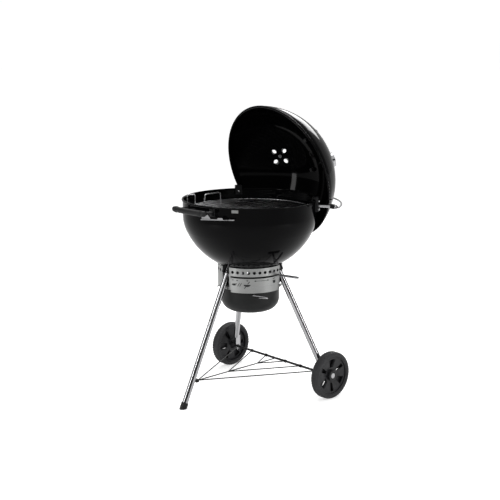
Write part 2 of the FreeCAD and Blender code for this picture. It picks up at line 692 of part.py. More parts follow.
def coal_grate():
    ring = Part.makeTorus(COAL_GRATE_R, GRATE_RING_R, V(0, 0, COAL_GRATE_Z))
    rods = parallel_rods(COAL_GRATE_R, COAL_ROD_R, COAL_GRATE_Z, COAL_ROD_PITCH, COAL_GRATE_R - 12)
    cross = []
    for x in (-90, 90):
        half = chord_half(COAL_GRATE_R, x)
        z = COAL_GRATE_Z - COAL_ROD_R
        cross.append(rod(V(x, -half + 4, z), V(x, half - 4, z), COAL_ROD_R))
    return fuse([ring] + rods + cross)


def ring_part(sign):
    """Piece of the cooking grate's ring beyond one flap hinge, or between both when sign is 0."""
    ring = Part.makeTorus(COOK_GRATE_R, GRATE_RING_R, V(0, 0, COOK_GRATE_Z))
    middle = centred_box(800, 2 * FLAP_HINGE_Y, 60, V(0, 0, COOK_GRATE_Z))
    if sign == 0:
        return ring.common(middle)
    beyond = FLAP_HINGE_Y + FLAP_GAP
    half_space = Part.makeBox(800, 300, 60, V(-400, beyond, COOK_GRATE_Z - 30))
    piece = ring.common(half_space)
    return piece if sign > 0 else mirrored_y(piece)


def cooking_grate():
    pieces = [ring_part(0)]
    hinge_half = chord_half(COOK_GRATE_R, FLAP_HINGE_Y)
    for y in (-FLAP_HINGE_Y, FLAP_HINGE_Y):
        pieces.append(rod(V(-hinge_half, y, COOK_GRATE_Z), V(hinge_half, y, COOK_GRATE_Z), COOK_ROD_R))
    pieces += parallel_rods(COOK_GRATE_R, COOK_ROD_R, COOK_GRATE_Z, COOK_ROD_PITCH, FLAP_HINGE_Y - 8)
    for x in (-120, 0, 120):
        z = COOK_GRATE_Z - COOK_ROD_R
        reach = FLAP_HINGE_Y
        pieces.append(rod(V(x, -reach, z), V(x, reach, z), COOK_ROD_R))
    return fuse(pieces)


def lift_loop():
    """Upright finger loop welded on the last rod inside the rear hinge."""
    y = int((FLAP_HINGE_Y - 8) / COOK_ROD_PITCH) * COOK_ROD_PITCH
    base = COOK_GRATE_Z + COOK_ROD_R + TOUCH + LOOP_WIRE_R
    top = COOK_GRATE_Z + LIFT_LOOP_HEIGHT
    points = [V(-126, y, base), V(-118, y, top - 4), V(-112, y, top)]
    points += [V(-36, y, top), V(-31, y, top - 4), V(-29, y, base)]
    return wire_run(points, LOOP_WIRE_R)


def flap_first_y():
    return FLAP_HINGE_Y + FLAP_GAP + 4.0


def flap(sign):
    """Rear flap, mirrored for the front: arc, rods and two eyes around the hinge rod."""
    pieces = [ring_part(1)]
    first_y = flap_first_y()
    half = chord_half(COOK_GRATE_R, first_y)
    pieces.append(rod(V(-half, first_y, COOK_GRATE_Z), V(half, first_y, COOK_GRATE_Z), COOK_ROD_R))
    y = first_y + COOK_ROD_PITCH
    while y < COOK_GRATE_R - 8:
        half = chord_half(COOK_GRATE_R, y)
        pieces.append(rod(V(-half, y, COOK_GRATE_Z), V(half, y, COOK_GRATE_Z), COOK_ROD_R))
        y += COOK_ROD_PITCH
    z = COOK_GRATE_Z - COOK_ROD_R
    for x in (-90, 90):
        outer = chord_half(COOK_GRATE_R, x)
        pieces.append(rod(V(x, FLAP_HINGE_Y + 4.5, z + COOK_ROD_R), V(x, outer, z), COOK_ROD_R - 0.4))
        eye_start = V(x - 4, FLAP_HINGE_Y, COOK_GRATE_Z)
        pieces.append(rod(eye_start, eye_start + V(8, 0, 0), COOK_ROD_R + PIN_GAP + 2.2))
    whole = fuse(pieces)
    hinge = rod(V(-260, FLAP_HINGE_Y, COOK_GRATE_Z), V(260, FLAP_HINGE_Y, COOK_GRATE_Z), COOK_ROD_R + PIN_GAP)
    whole = whole.cut(hinge)
    return whole if sign > 0 else mirrored_y(whole)


def flap_loop():
    """Upright finger loop on the rear flap, from its first rod out to its rim."""
    low = COOK_GRATE_Z + TOUCH + LOOP_WIRE_R
    top = COOK_GRATE_Z + FLAP_LOOP_HEIGHT
    far_y = flap_first_y() + 9.0
    far = V(-chord_half(COOK_GRATE_R, far_y), far_y, 0)
    near = V(far.x + FLAP_LOOP_REACH, flap_first_y(), 0)
    inward = (far - near).normalize() * 4
    points = [near + V(0, 0, low + COOK_ROD_R), near + V(0, 0, top - 5), near + inward + V(0, 0, top)]
    points += [far - inward + V(0, 0, top), far + V(0, 0, top - 5), far + V(0, 0, low + GRATE_RING_R)]
    return wire_run(points, LOOP_WIRE_R)


# ---- bowl handle and tool hook ---------------------------------------------
def bowl_grip_solid(grow):
    """Gently bowed round grip with a collar near each end."""
    bends = [V(GRIP_X + 6, -GRIP_HALF_LENGTH, GRIP_Z), V(GRIP_X, -52, GRIP_Z), V(GRIP_X, 52, GRIP_Z)]
    bends.append(V(GRIP_X + 6, GRIP_HALF_LENGTH, GRIP_Z))
    pieces = [wire_run(bends, GRIP_R + grow)]
    for y in (-78, 78):
        start, end = V(GRIP_X, y - 4 - grow, GRIP_Z), V(GRIP_X, y + 4 + grow, GRIP_Z)
        pieces.append(rod(start, end, GRIP_R + 1.2 + grow))
    return fuse(pieces)


def handle_arm(side, grow):
    wall = math.sqrt(BOWL_WALL_R ** 2 - HANDLE_BRACKET_Y ** 2)
    y = side * HANDLE_BRACKET_Y
    return rod(V(GRIP_X + 4, y, GRIP_Z), V(-wall + 6, y, GRIP_Z), HANDLE_ROD_R + grow)


def handle_bracket(side):
    pad = turned(centred_box(4, 26, 30, V(BOWL_WALL_R + 2.6, 0, GRIP_Z - 3)), 180 - side * HANDLE_PAD_ANGLE)
    nut = rod(V(BOWL_WALL_R + 4, 0, GRIP_Z - 12), V(BOWL_WALL_R + 9, 0, GRIP_Z - 12), 5.5)
    nut = turned(nut, 180 - side * HANDLE_PAD_ANGLE)
    outside = Part.makeCylinder(BOWL_WALL_R + TOUCH, 200, V(0, 0, GRIP_Z - 100))
    whole = fuse([handle_arm(side, 0), pad, nut]).cut(outside)
    bead = Part.makeTorus(BOWL_WALL_R + 0.5, BOWL_BEAD_R + TOUCH, V(0, 0, BOWL_RIM_Z - BOWL_BEAD_R))
    return whole.cut([bowl_grip_solid(TOUCH), bead])


def tool_hook():
    """Bright pressed piece under the near end of the handle: gusset, flat bar, raised catch."""
    start = polar(BOWL_WALL_R + GRIP_STANDOFF - 5, 192.0, HOOK_BAR_Z)
    end = polar(BOWL_WALL_R + 17.5, 214.5, HOOK_BAR_Z)
    along = end.sub(start)
    flat = V(along.x, along.y, 0)
    flat.normalize()
    across = V(-flat.y, flat.x, 0)
    bar_corners = [start + across * 7, start - across * 7, end - across * 4, end + flat * 8, end + across * 5]
    bar = polygon_prism(bar_corners, V(0, 0, 4))
    gusset_foot = start + flat * 2
    gusset_tops = [gusset_foot + flat * 14 + V(0, 0, 38), gusset_foot + flat * 2 + V(0, 0, 34)]
    gusset_corners = [gusset_foot, gusset_foot + flat * 40] + gusset_tops
    gusset = polygon_prism([corner - across * 1.5 for corner in gusset_corners], across * 3)
    catch_at = start + flat * 66
    catch_tops = [catch_at + flat * 22 + V(0, 0, 10), catch_at + flat * 3 + V(0, 0, 10)]
    catch_corners = [catch_at, catch_at + flat * 26] + catch_tops
    catch = polygon_prism([corner - across * 5 for corner in catch_corners], across * 6)
    whole = fuse([bar, gusset, catch])
    bowl_side = Part.makeCylinder(BOWL_WALL_R + 6, 200, V(0, 0, HOOK_BAR_Z - 60))
    return whole.cut([bowl_grip_solid(TOUCH), handle_arm(-1, TOUCH), bowl_side])


# ---- lid holder ------------------------------------------------------------
def holder_bracket():
    """Black clip over the rim at the front holder angle, with an inner plate and bolts."""
    outer_at = V(clip_face() - CLIP_THICKNESS / 2, 0, BOWL_RIM_Z - 18)
    outer = centred_box(CLIP_THICKNESS, CLIP_WIDTH, 62, outer_at)
    bridge = centred_box(CLIP_THICKNESS + 13, CLIP_WIDTH, 8, V(BOWL_WALL_R + 1, 0, BOWL_RIM_Z + 8))
    inner = centred_box(4, CLIP_WIDTH, 40, V(BOWL_WALL_R - 10, 0, BOWL_RIM_Z - 8))
    pad = centred_box(8, CLIP_WIDTH / 2, 12, V(BOWL_WALL_R - 6, 0, BOWL_RIM_Z - 22))
    whole = fuse([outer, bridge, inner, pad])
    slice_solid = bowl_outside().cut(bowl_inside()).fuse(bowl_bead())
    swollen = tube(BOWL_WALL_R + TOUCH, BOWL_WALL_R - SHEET - TOUCH, BOWL_RIM_Z - 70, BOWL_RIM_Z - 2)
    bead = Part.makeTorus(BOWL_WALL_R + 0.5, BOWL_BEAD_R + TOUCH, V(0, 0, BOWL_RIM_Z - BOWL_BEAD_R))
    return turned(whole, -HOLDER_ANGLE).cut([slice_solid, swollen, bead])


def clip_face():
    return BOWL_WALL_R + 1.5 + CLIP_THICKNESS


def holder_bolts():
    face = clip_face() + TOUCH
    bolts = []
    for z in (BOWL_RIM_Z - 39, BOWL_RIM_Z - 5):
        bolts.append(rod(V(face, 0, z), V(face + 4, 0, z), 5.5))
    inner_face = BOWL_WALL_R - 12 - TOUCH
    nut_z = BOWL_RIM_Z - 13
    bolts.append(rod(V(inner_face, 0, nut_z), V(inner_face - 2.8, 0, nut_z), 5.5))
    return turned(Part.makeCompound(bolts), -HOLDER_ANGLE)


def holder_pivot():
    return V(HOLDER_PIVOT_X, -HOLDER_PIVOT_X * math.tan(math.radians(HOLDER_ANGLE)), HOLDER_PIVOT_Z)


def holder_arm():
    start = polar(clip_face() + TOUCH, -HOLDER_ANGLE, HOLDER_PIVOT_Z)
    arm = rod(start, holder_pivot(), HOLDER_ARM_R)
    return arm.cut(holder_end_outline(TOUCH))


def holder_end_outline(grow):
    centre = holder_pivot()
    return rod(centre + V(0, 11 + grow, 0), centre - V(0, 11 + grow, 0), HOLDER_END_R + grow)


def holder_end():
    """Black bush at the arm's tip, bored along Y for the holder wire."""
    centre = holder_pivot()
    bore = rod(centre + V(0, 6, 0), centre - V(0, 20, 0), HOLDER_WIRE_R + PIN_GAP)
    return holder_end_outline(0).cut(bore)


def holder_wire():
    centre = holder_pivot()
    corner_y = math.sqrt(HOLDER_ARC_R ** 2 - HOLDER_PIVOT_X ** 2)
    start_angle = math.degrees(math.acos(HOLDER_PIVOT_X / HOLDER_ARC_R))
    arc = Part.makeTorus(
        HOLDER_ARC_R, HOLDER_WIRE_R, V(0, 0, HOLDER_PIVOT_Z), Z_AXIS, -180, 180, 2 * start_angle
    )
    arc.rotate(V(0, 0, 0), Z_AXIS, -start_angle)
    pieces = [arc]
    for side in (-1, 1):
        corner = V(HOLDER_PIVOT_X, side * corner_y, HOLDER_PIVOT_Z)
        pin_start = V(HOLDER_PIVOT_X, side * (-centre.y - 4), HOLDER_PIVOT_Z)
        pieces.append(rod(pin_start, corner, HOLDER_WIRE_R))
        pieces.append(ball(corner, HOLDER_WIRE_R))
        coil_y = side * (-centre.y + 18)
        pieces.append(Part.makeTorus(6.4, 3.0, V(HOLDER_PIVOT_X, coil_y, HOLDER_PIVOT_Z), Y_AXIS))
    return fuse(pieces)


# ---- lid (built rim down about Z, rim centre at the origin) -----------------
def sphere_z():
    return -LID_SPHERE_BELOW_RIM


def lid_outside(grow=0.0):
    return dish(
        LID_WALL_R + grow, LID_CORNER_R + grow, LID_SPHERE_R + grow, sphere_z(), -1.0 if grow else 0.0, 1
    )


def lid_inside():
    return dish(LID_WALL_R - SHEET, LID_CORNER_R - SHEET, LID_SPHERE_R - SHEET, sphere_z(), -1.0, 1)


def on_sphere(shape, polar_angle, azimuth):
    """Carry a piece built at the top of the dome to a place on its side."""
    centre = V(0, 0, sphere_z())
    return turned(turned(shape, polar_angle, centre, Y_AXIS), azimuth, centre, Z_AXIS)


def dome_top():
    return sphere_z() + LID_SPHERE_R


def vent_holes(twist):
    holes = []
    for i in range(LID_VENT_HOLES):
        centre = polar(LID_VENT_CIRCLE_R, 45 + twist + i * 360.0 / LID_VENT_HOLES, dome_top() - 40)
        holes.append(Part.makeCylinder(LID_VENT_HOLE_R, 80, centre))
    return holes


def lid_bolt_holes():
    reach = sphere_z() + LID_SPHERE_R - 40
    return [Part.makeCylinder(3.2, 80, V(x, 0, reach)) for x in (-LID_BOLT_SPAN, LID_BOLT_SPAN)]


def lid_shell():
    shell = lid_outside().cut(lid_inside()).fuse(Part.makeTorus(LID_WALL_R, LID_BEAD_R, V(0, 0, 0)))
    cutters = [on_sphere(h, LID_VENT_POLAR, LID_VENT_AZIMUTH) for h in vent_holes(0)]
    rivet_hole = Part.makeCylinder(RIVET_R + TOUCH, 80, V(0, 0, dome_top() - 40))
    cutters.append(on_sphere(rivet_hole, LID_VENT_POLAR, LID_VENT_AZIMUTH))
    stem_hole = Part.makeCylinder(THERMO_STEM_R + TOUCH, 80, V(0, 0, dome_top() - 40))
    cutters.append(on_sphere(stem_hole, THERMO_POLAR, THERMO_AZIMUTH))
    return shell.cut(cutters + lid_bolt_holes())


def damper_skin(low_gap, thickness):
    centre = V(0, 0, sphere_z())
    outer = Part.makeSphere(LID_SPHERE_R + low_gap + thickness, centre)
    return outer.cut(Part.makeSphere(LID_SPHERE_R + low_gap, centre))


def lid_vent_damper():
    outline = Part.makeCylinder(LID_DAMPER_R, 80, V(0, 0, dome_top() - 20))
    disc = damper_skin(DAMPER_GAP, DAMPER_SHEET).common(outline)
    bore = Part.makeCylinder(RIVET_R + PIN_GAP, 80, V(0, 0, dome_top() - 40))
    disc = disc.cut(vent_holes(LID_DAMPER_TURN) + [bore])
    tab = centred_box(3.0, 24.0, 18.0, V(LID_DAMPER_R - 3, 0, dome_top() + 5))
    lower = Part.makeSphere(LID_SPHERE_R + DAMPER_GAP, V(0, 0, sphere_z()))
    tab = tab.cut(lower)
    tab = turned(tab, 90 + LID_DAMPER_TURN)
    return on_sphere(fuse([disc, tab]), LID_VENT_POLAR, LID_VENT_AZIMUTH)


def vent_rivet():
    top = dome_top()
    shank = rod(V(0, 0, top - 4.6), V(0, 0, top + 5.0), RIVET_R)
    head = rod(V(0, 0, top + DAMPER_GAP + DAMPER_SHEET + 0.7), V(0, 0, top + 5.5), 9.0)
    tail = rod(V(0, 0, top - 4.6), V(0, 0, top - SHEET - 0.6), 8.0)
    return on_sphere(fuse([shank, head, tail]), LID_VENT_POLAR, LID_VENT_AZIMUTH)


def grip_axis_z():
    return dome_top() + LID_GRIP_STANDOFF


def lid_grip_solid(grow):
    z = grip_axis_z()
    a = V(-LID_GRIP_HALF_LENGTH, 0, z - 5)
    b = V(-40, 0, z)
    c = V(40, 0, z)
    d = V(LID_GRIP_HALF_LENGTH, 0, z - 5)
    return wire_run([a, b, c, d], LID_GRIP_R + grow)


def lid_handle_brackets():
    feet = []
    base_z = sphere_z() + math.sqrt(LID_SPHERE_R ** 2 - LID_BOLT_SPAN ** 2)
    for x in (-LID_BOLT_SPAN, LID_BOLT_SPAN):
        post = rod(V(x, 0, base_z - 12), V(x, 0, grip_axis_z()), POST_R)
        foot = rod(V(x, 0, base_z - 12), V(x, 0, base_z + 8), POST_FOOT_R)
        feet.append(fuse([post, foot]).cut([lid_grip_solid(TOUCH), lid_outside(TOUCH)]))
    return Part.makeCompound(feet)


def lid_bolts():
    bolts = []
    base_z = sphere_z() + math.sqrt(LID_SPHERE_R ** 2 - LID_BOLT_SPAN ** 2)
    for x in (-LID_BOLT_SPAN, LID_BOLT_SPAN):
        nut = rod(V(x, 0, base_z - 14), V(x, 0, base_z + 10), 8.5).common(lid_inside_cavity())
        nut = nut.common(centred_box(60, 60, 60, V(x, 0, base_z - 14 + 30)))
        bolts.append(nut)
    return Part.makeCompound(bolts)


def lid_inside_cavity():
    return Part.makeSphere(LID_SPHERE_R - SHEET - TOUCH, V(0, 0, sphere_z()))


def heat_shield():
    """Bent steel plate between the dome and the grip, held by the handle posts."""
    centre = V(0, 0, sphere_z())
    low = LID_SPHERE_R + 12
    skin = Part.makeSphere(low + 1.5, centre).cut(Part.makeSphere(low, centre))
    plate = skin.common(centred_box(2 * LID_BOLT_SPAN + 36, 66, 120, V(0, 0, dome_top())))
    hole_r = POST_R + TOUCH
    low_z = dome_top() - 40
    cutters = [Part.makeCylinder(hole_r, 80, V(x, 0, low_z)) for x in (-LID_BOLT_SPAN, LID_BOLT_SPAN)]
    return plate.cut(cutters)


def thermometer_case():
    top = dome_top()
    body = rod(V(0, 0, top - 6), V(0, 0, top + THERMO_HEIGHT), THERMO_R)
    body = body.cut(Part.makeSphere(LID_SPHERE_R + TOUCH, V(0, 0, sphere_z())))
    pocket = rod(V(0, 0, top + 5), V(0, 0, top + THERMO_HEIGHT + 1), THERMO_R - THERMO_RIM)
    stem = rod(V(0, 0, top - THERMO_STEM_REACH), V(0, 0, top + 4.9), THERMO_STEM_R)
    pin = rod(V(0, 0, top + 4.9), V(0, 0, top + 9.5), 1.0)
    return on_sphere(fuse([body.cut(pocket), stem, pin]), THERMO_POLAR, THERMO_AZIMUTH)


def thermometer_dial():
    top = dome_top()
    dial = rod(V(0, 0, top + 5 + TOUCH), V(0, 0, top + 6.2), THERMO_R - THERMO_RIM - TOUCH)
    dial = dial.cut(rod(V(0, 0, top), V(0, 0, top + 20), 1.0 + TOUCH))
    return on_sphere(dial, THERMO_POLAR, THERMO_AZIMUTH)


def thermometer_glass():
    top = dome_top() + THERMO_HEIGHT - 2.5
    glass = rod(V(0, 0, top), V(0, 0, top + 1.8), THERMO_R - THERMO_RIM - TOUCH)
    return on_sphere(glass, THERMO_POLAR, THERMO_AZIMUTH)


def thermometer_needle():
    low_z = dome_top() + 7.0
    tip = THERMO_R - THERMO_RIM - 6
    outline = [V(-8, -1.6, low_z), V(tip, -0.6, low_z), V(tip, 0.6, low_z), V(-8, 1.6, low_z)]
    needle = fuse([polygon_prism(outline, V(0, 0, 1.0)), rod(V(0, 0, low_z), V(0, 0, low_z + 1.0), 3.2)])
    needle = needle.cut(rod(V(0, 0, low_z - 2), V(0, 0, low_z + 4), 1.0 + PIN_GAP))
    return on_sphere(turned(needle, 215), THERMO_POLAR, THERMO_AZIMUTH)


def park_lid(shape):
    """Lean a lid piece onto the holder beside the bowl."""
    parked = turned(shape, LID_LEAN, V(0, 0, 0), Y_AXIS)
    parked.translate(LID_RIM_CENTRE)
    return parked


# ---- whole grill -----------------------------------------------------------
def frame_nodes():
    front_leg = wheel_leg()
    front_axle = axle()
    front_arm = holder_arm()
    front_bracket = holder_bracket()
    front_bolts = holder_bolts()
    front_end = holder_end()
    nodes = {
        "bowl": bowl(),
        "bowl_badge": bowl_badge(),
        "cook_supports": cook_supports(),
        "coal_supports": coal_supports(),
        "coal_grate": coal_grate(),
        "leg_left": foot_leg(),
        "leg_front": front_leg,
        "leg_rear": mirrored_y(front_leg),
        "foot_cap": foot_cap(),
        "axle_front": front_axle,
        "axle_rear": mirrored_y(front_axle),
        "bottom_rack": bottom_rack(),
        "ash_ring": ash_ring(),
        "control_panel": control_panel(),
        "ring_hook": ring_hook(),
        "bowl_grip": bowl_grip_solid(0),
        "handle_bracket_front": handle_bracket(-1),
        "handle_bracket_rear": handle_bracket(1),
        "tool_hook": tool_hook(),
        "holder_bracket_front": front_bracket,
        "holder_bracket_rear": mirrored_y(front_bracket),
        "holder_bolts_front": front_bolts,
        "holder_bolts_rear": mirrored_y(front_bolts),
        "holder_arm_front": front_arm,
        "holder_arm_rear": mirrored_y(front_arm),
        "holder_end_front": front_end,
        "holder_end_rear": mirrored_y(front_end),
    }
    for name, angle in LEG_ANGLES.items():
        nodes["socket_" + name] = turned(socket(), angle)
    return nodes


def moving_nodes():
    front_tyre = tyre()
    front_centre = wheel_centre()
    return {
        "wheel_front_tyre": front_tyre,
        "wheel_front_centre": front_centre,
        "wheel_rear_tyre": mirrored_y(front_tyre),
        "wheel_rear_centre": mirrored_y(front_centre),
        "ash_bucket": ash_bucket(),
        "bucket_handle": bucket_handle(),
        "sweeper_shaft": shaft(),
        "sweeper_blades": sweeper_blades(),
        "damper_lever": damper_lever(),
        "cooking_grate": cooking_grate(),
        "grate_lift_loop": lift_loop(),
        "grate_flap_rear": flap(1),
        "grate_flap_front": flap(-1),
        "flap_loop": flap_loop(),
        "holder_wire": holder_wire(),
    }


def lid_nodes():
    pieces = {
        "lid_shell": lid_shell(),
        "lid_vent_damper": lid_vent_damper(),
        "lid_vent_rivet": vent_rivet(),
        "lid_grip": lid_grip_solid(0),
        "lid_handle_posts": lid_handle_brackets(),
        "lid_handle_nuts": lid_bolts(),
        "lid_heat_shield": heat_shield(),
        "thermometer_case": thermometer_case(),
        "thermometer_dial": thermometer_dial(),
        "thermometer_glass": thermometer_glass(),
        "thermometer_needle": thermometer_needle(),
    }
    return {name: park_lid(shape) for name, shape in pieces.items()}


def main():
    os.makedirs("parts", exist_ok=True)
    nodes = {}
    nodes.update(frame_nodes())
    nodes.update(moving_nodes())
    nodes.update(lid_nodes())
    for name, shape in nodes.items():
        shape.translate(V(BOWL_AXIS_X, 0, 0))
        shape.exportStep("parts/" + name + ".step")


main()
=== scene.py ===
"""Looks of the kettle charcoal grill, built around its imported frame."""
import json
import math

import bmesh
import bpy
from mathutils import Matrix, Vector

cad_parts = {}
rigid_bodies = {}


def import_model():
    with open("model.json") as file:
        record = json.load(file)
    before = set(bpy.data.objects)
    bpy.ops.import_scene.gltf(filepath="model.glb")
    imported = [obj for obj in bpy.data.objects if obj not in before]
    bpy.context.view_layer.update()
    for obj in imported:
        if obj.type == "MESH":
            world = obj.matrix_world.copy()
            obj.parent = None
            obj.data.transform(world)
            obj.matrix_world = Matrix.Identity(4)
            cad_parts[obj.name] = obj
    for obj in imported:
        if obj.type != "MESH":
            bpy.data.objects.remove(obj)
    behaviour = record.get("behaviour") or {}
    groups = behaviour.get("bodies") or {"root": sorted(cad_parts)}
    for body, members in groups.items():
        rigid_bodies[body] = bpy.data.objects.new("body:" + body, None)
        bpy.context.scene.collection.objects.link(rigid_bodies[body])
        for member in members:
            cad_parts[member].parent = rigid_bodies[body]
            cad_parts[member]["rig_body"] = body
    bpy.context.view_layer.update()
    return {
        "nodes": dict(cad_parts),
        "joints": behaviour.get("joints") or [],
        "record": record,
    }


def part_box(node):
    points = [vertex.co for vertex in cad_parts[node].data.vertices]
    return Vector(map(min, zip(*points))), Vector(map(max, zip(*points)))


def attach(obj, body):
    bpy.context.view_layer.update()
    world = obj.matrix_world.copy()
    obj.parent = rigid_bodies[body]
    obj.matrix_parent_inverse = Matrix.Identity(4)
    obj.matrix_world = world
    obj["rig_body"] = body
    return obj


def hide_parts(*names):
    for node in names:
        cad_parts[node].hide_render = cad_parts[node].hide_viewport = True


bl_info = {
    "name": "Kettle charcoal grill",
    "version": (1, 0, 0),
    "blender": (4, 5, 0),
    "location": "3D View > Sidebar > Grill",
    "description": "Builds the finishes and refined pieces of a kettle charcoal grill",
    "category": "Add Mesh",
}

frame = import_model()
NODES = frame["nodes"]
JOINTS = {joint["name"]: joint for joint in frame["joints"]}

# ---- sizes read from the frame, in metres ----------------------------------
MM = 0.001
BOWL_LOW, BOWL_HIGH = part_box("bowl")
AXIS = Vector(((BOWL_LOW.x + BOWL_HIGH.x) / 2, 0, 0))
RING_LOW, RING_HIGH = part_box("ash_ring")
PANEL_LOW, PANEL_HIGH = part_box("control_panel")
TYRE_LOW, TYRE_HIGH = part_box("wheel_front_tyre")
WHEEL_R = (TYRE_HIGH.z - TYRE_LOW.z) / 2
WHEEL_HALF_WIDTH = (TYRE_HIGH.y - TYRE_LOW.y) / 2
LEVER_LOW, LEVER_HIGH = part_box("damper_lever")
GRIP_LOW, GRIP_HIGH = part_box("bowl_grip")
LID_GRIP_LOW, LID_GRIP_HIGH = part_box("lid_grip")
FRONT = {"wheel_front": Vector((0, -1, 0)), "wheel_rear": Vector((0, 1, 0))}


# ---- what a user may change ------------------------------------------------
def colour_property(name, description, default):
    return bpy.props.FloatVectorProperty(
        name=name, description=description, subtype="COLOR", size=3, min=0.0, max=1.0, default=default
    )


class GrillFinishes(bpy.types.PropertyGroup):
    enamel: colour_property("Enamel", "Colour of the bowl's and the lid's enamel", (0.0012, 0.0012, 0.0014))
    enamel_roughness: bpy.props.FloatProperty(
        name="Enamel roughness", description="How blurred the enamel's reflections are",
        default=0.07, min=0.0, max=1.0, subtype="FACTOR",
    )
    coated_steel: colour_property(
        "Coated steel", "Colour of sockets, clips and rack", (0.006, 0.006, 0.0065)
    )
    plating: colour_property("Plating", "Colour of the plated legs and wire", (0.50, 0.50, 0.51))
    band: colour_property("Band", "Colour of the brushed ash ring and panel", (0.36, 0.365, 0.36))
    grate_wire: colour_property("Grate wire", "Colour of the cooking grate's wire", (0.60, 0.60, 0.61))
    coal_wire: colour_property("Coal grate wire", "Colour of the charcoal grate's wire", (0.30, 0.30, 0.31))
    bucket: colour_property("Bucket", "Colour of the ash bucket's coating", (0.004, 0.0045, 0.0045))
    lever: colour_property("Lever", "Colour of the vent lever and its blades", (0.30, 0.30, 0.31))
    grip: colour_property("Grips", "Colour of the nylon grips", (0.008, 0.008, 0.0085))
    wheel: colour_property("Wheel", "Colour of the moulded wheel centres", (0.020, 0.020, 0.022))
    tyre: colour_property("Tyre", "Colour of the moulded tyres", (0.030, 0.030, 0.032))


class GrillWheels(bpy.types.PropertyGroup):
    windows: bpy.props.IntProperty(
        name="Windows", description="Openings in each wheel", default=6, min=3, max=12
    )
    shoulder_notches: bpy.props.IntProperty(
        name="Shoulder notches", description="Notches round each shoulder of a tyre",
        default=48, min=8, max=96,
    )
    groove: bpy.props.FloatProperty(
        name="Groove", description="Depth of the tyre's grooves", default=1.2 * MM, min=0.0, max=4 * MM,
        unit="LENGTH", precision=4,
    )


class GrillGrips(bpy.types.PropertyGroup):
    ridges: bpy.props.IntProperty(
        name="Ridges", description="Finger ridges under each grip", default=4, min=0, max=9
    )
    ridge_depth: bpy.props.FloatProperty(
        name="Ridge depth", description="How far the finger hollows go in", default=1.3 * MM, min=0.0,
        max=4 * MM, unit="LENGTH", precision=4,
    )


class GrillStage(bpy.types.PropertyGroup):
    camera_place: bpy.props.FloatVectorProperty(
        name="Camera place", description="Where the camera stands", subtype="XYZ_LENGTH", size=3,
        default=(-3.0112, -3.2894, 1.5366),
    )
    camera_heading: bpy.props.FloatProperty(
        name="Camera heading", description="Turn of the view from +Y towards +X", subtype="ANGLE",
        default=math.radians(42.21),
    )
    camera_pitch: bpy.props.FloatProperty(
        name="Camera pitch", description="How far the view looks down", subtype="ANGLE",
        default=math.radians(11.63),
    )
    camera_roll: bpy.props.FloatProperty(
        name="Camera roll", description="Lean of the view", subtype="ANGLE", default=math.radians(-0.29)
    )
    lens: bpy.props.FloatProperty(
        name="Lens", description="Focal length in millimetres on a 36 mm sensor", default=75.98,
        min=10.0, max=300.0,
    )
    floor_reach: bpy.props.FloatProperty(
        name="Floor reach", description="Half of the floor's side", default=40.0, min=5.0, unit="LENGTH"
    )
    strip_power: bpy.props.FloatProperty(
        name="Strip power", description="Power of each tall soft strip in watts", default=34.0, min=0.0
    )
    softbox_power: bpy.props.FloatProperty(
        name="Softbox power", description="Power of the softbox behind the lid in watts",
        default=40.0, min=0.0,
    )
    top_power: bpy.props.FloatProperty(
        name="Top power", description="Power of the overhead soft panel in watts", default=60.0, min=0.0
    )


# ---- node helpers ----------------------------------------------------------
def add_node(tree, kind, place, **settings):
    node = tree.nodes.new(kind)
    node.location = place
    for name, value in settings.items():
        setattr(node, name, value)
    return node


def join(tree, source, output, target, socket):
    tree.links.new(source.outputs[output], target.inputs[socket])


def map_range(tree, place, low, high, to_low, to_high):
    node = add_node(tree, "ShaderNodeMapRange", place)
    for label, value in (("From Min", low), ("From Max", high), ("To Min", to_low), ("To Max", to_high)):
        node.inputs[label].default_value = value
    return node


def noise_node(tree, place, **values):
    node = add_node(tree, "ShaderNodeTexNoise", place)
    for label, value in values.items():
        node.inputs[label.capitalize()].default_value = value
    return node


def new_group(name, inputs, outputs):
    """Empty shader node group with named sockets: inputs as (name, kind, default)."""
    tree = bpy.data.node_groups.new(name, "ShaderNodeTree")
    for label, kind, default in inputs:
        socket = tree.interface.new_socket(label, in_out="INPUT", socket_type=kind)
        socket.default_value = default
    for label, kind in outputs:
        tree.interface.new_socket(label, in_out="OUTPUT", socket_type=kind)
    enter = add_node(tree, "NodeGroupInput", (-900, 0))
    leave = add_node(tree, "NodeGroupOutput", (600, 0))
    return tree, enter, leave


def grain_group():
    """Fine pebbled grain of mouldings and coatings, with a slow drift of tone over it."""
    tree, enter, leave = new_group(
        "Fine grain",
        [("Grain scale", "NodeSocketFloat", 900.0), ("Drift scale", "NodeSocketFloat", 9.0)],
        [("Height", "NodeSocketFloat"), ("Drift", "NodeSocketFloat")],
    )
    place = add_node(tree, "ShaderNodeTexCoord", (-700, -200))
    fine = noise_node(tree, (-450, 100), detail=3.0)
    slow = noise_node(tree, (-450, -200), detail=4.0)
    spread = map_range(tree, (-150, -200), 0.35, 0.65, 0.0, 1.0)
    for noise, scale in ((fine, "Grain scale"), (slow, "Drift scale")):
        join(tree, place, "Object", noise, "Vector")
        join(tree, enter, scale, noise, "Scale")
    join(tree, slow, "Fac", spread, "Value")
    join(tree, fine, "Fac", leave, "Height")
    join(tree, spread, "Result", leave, "Drift")
    return tree


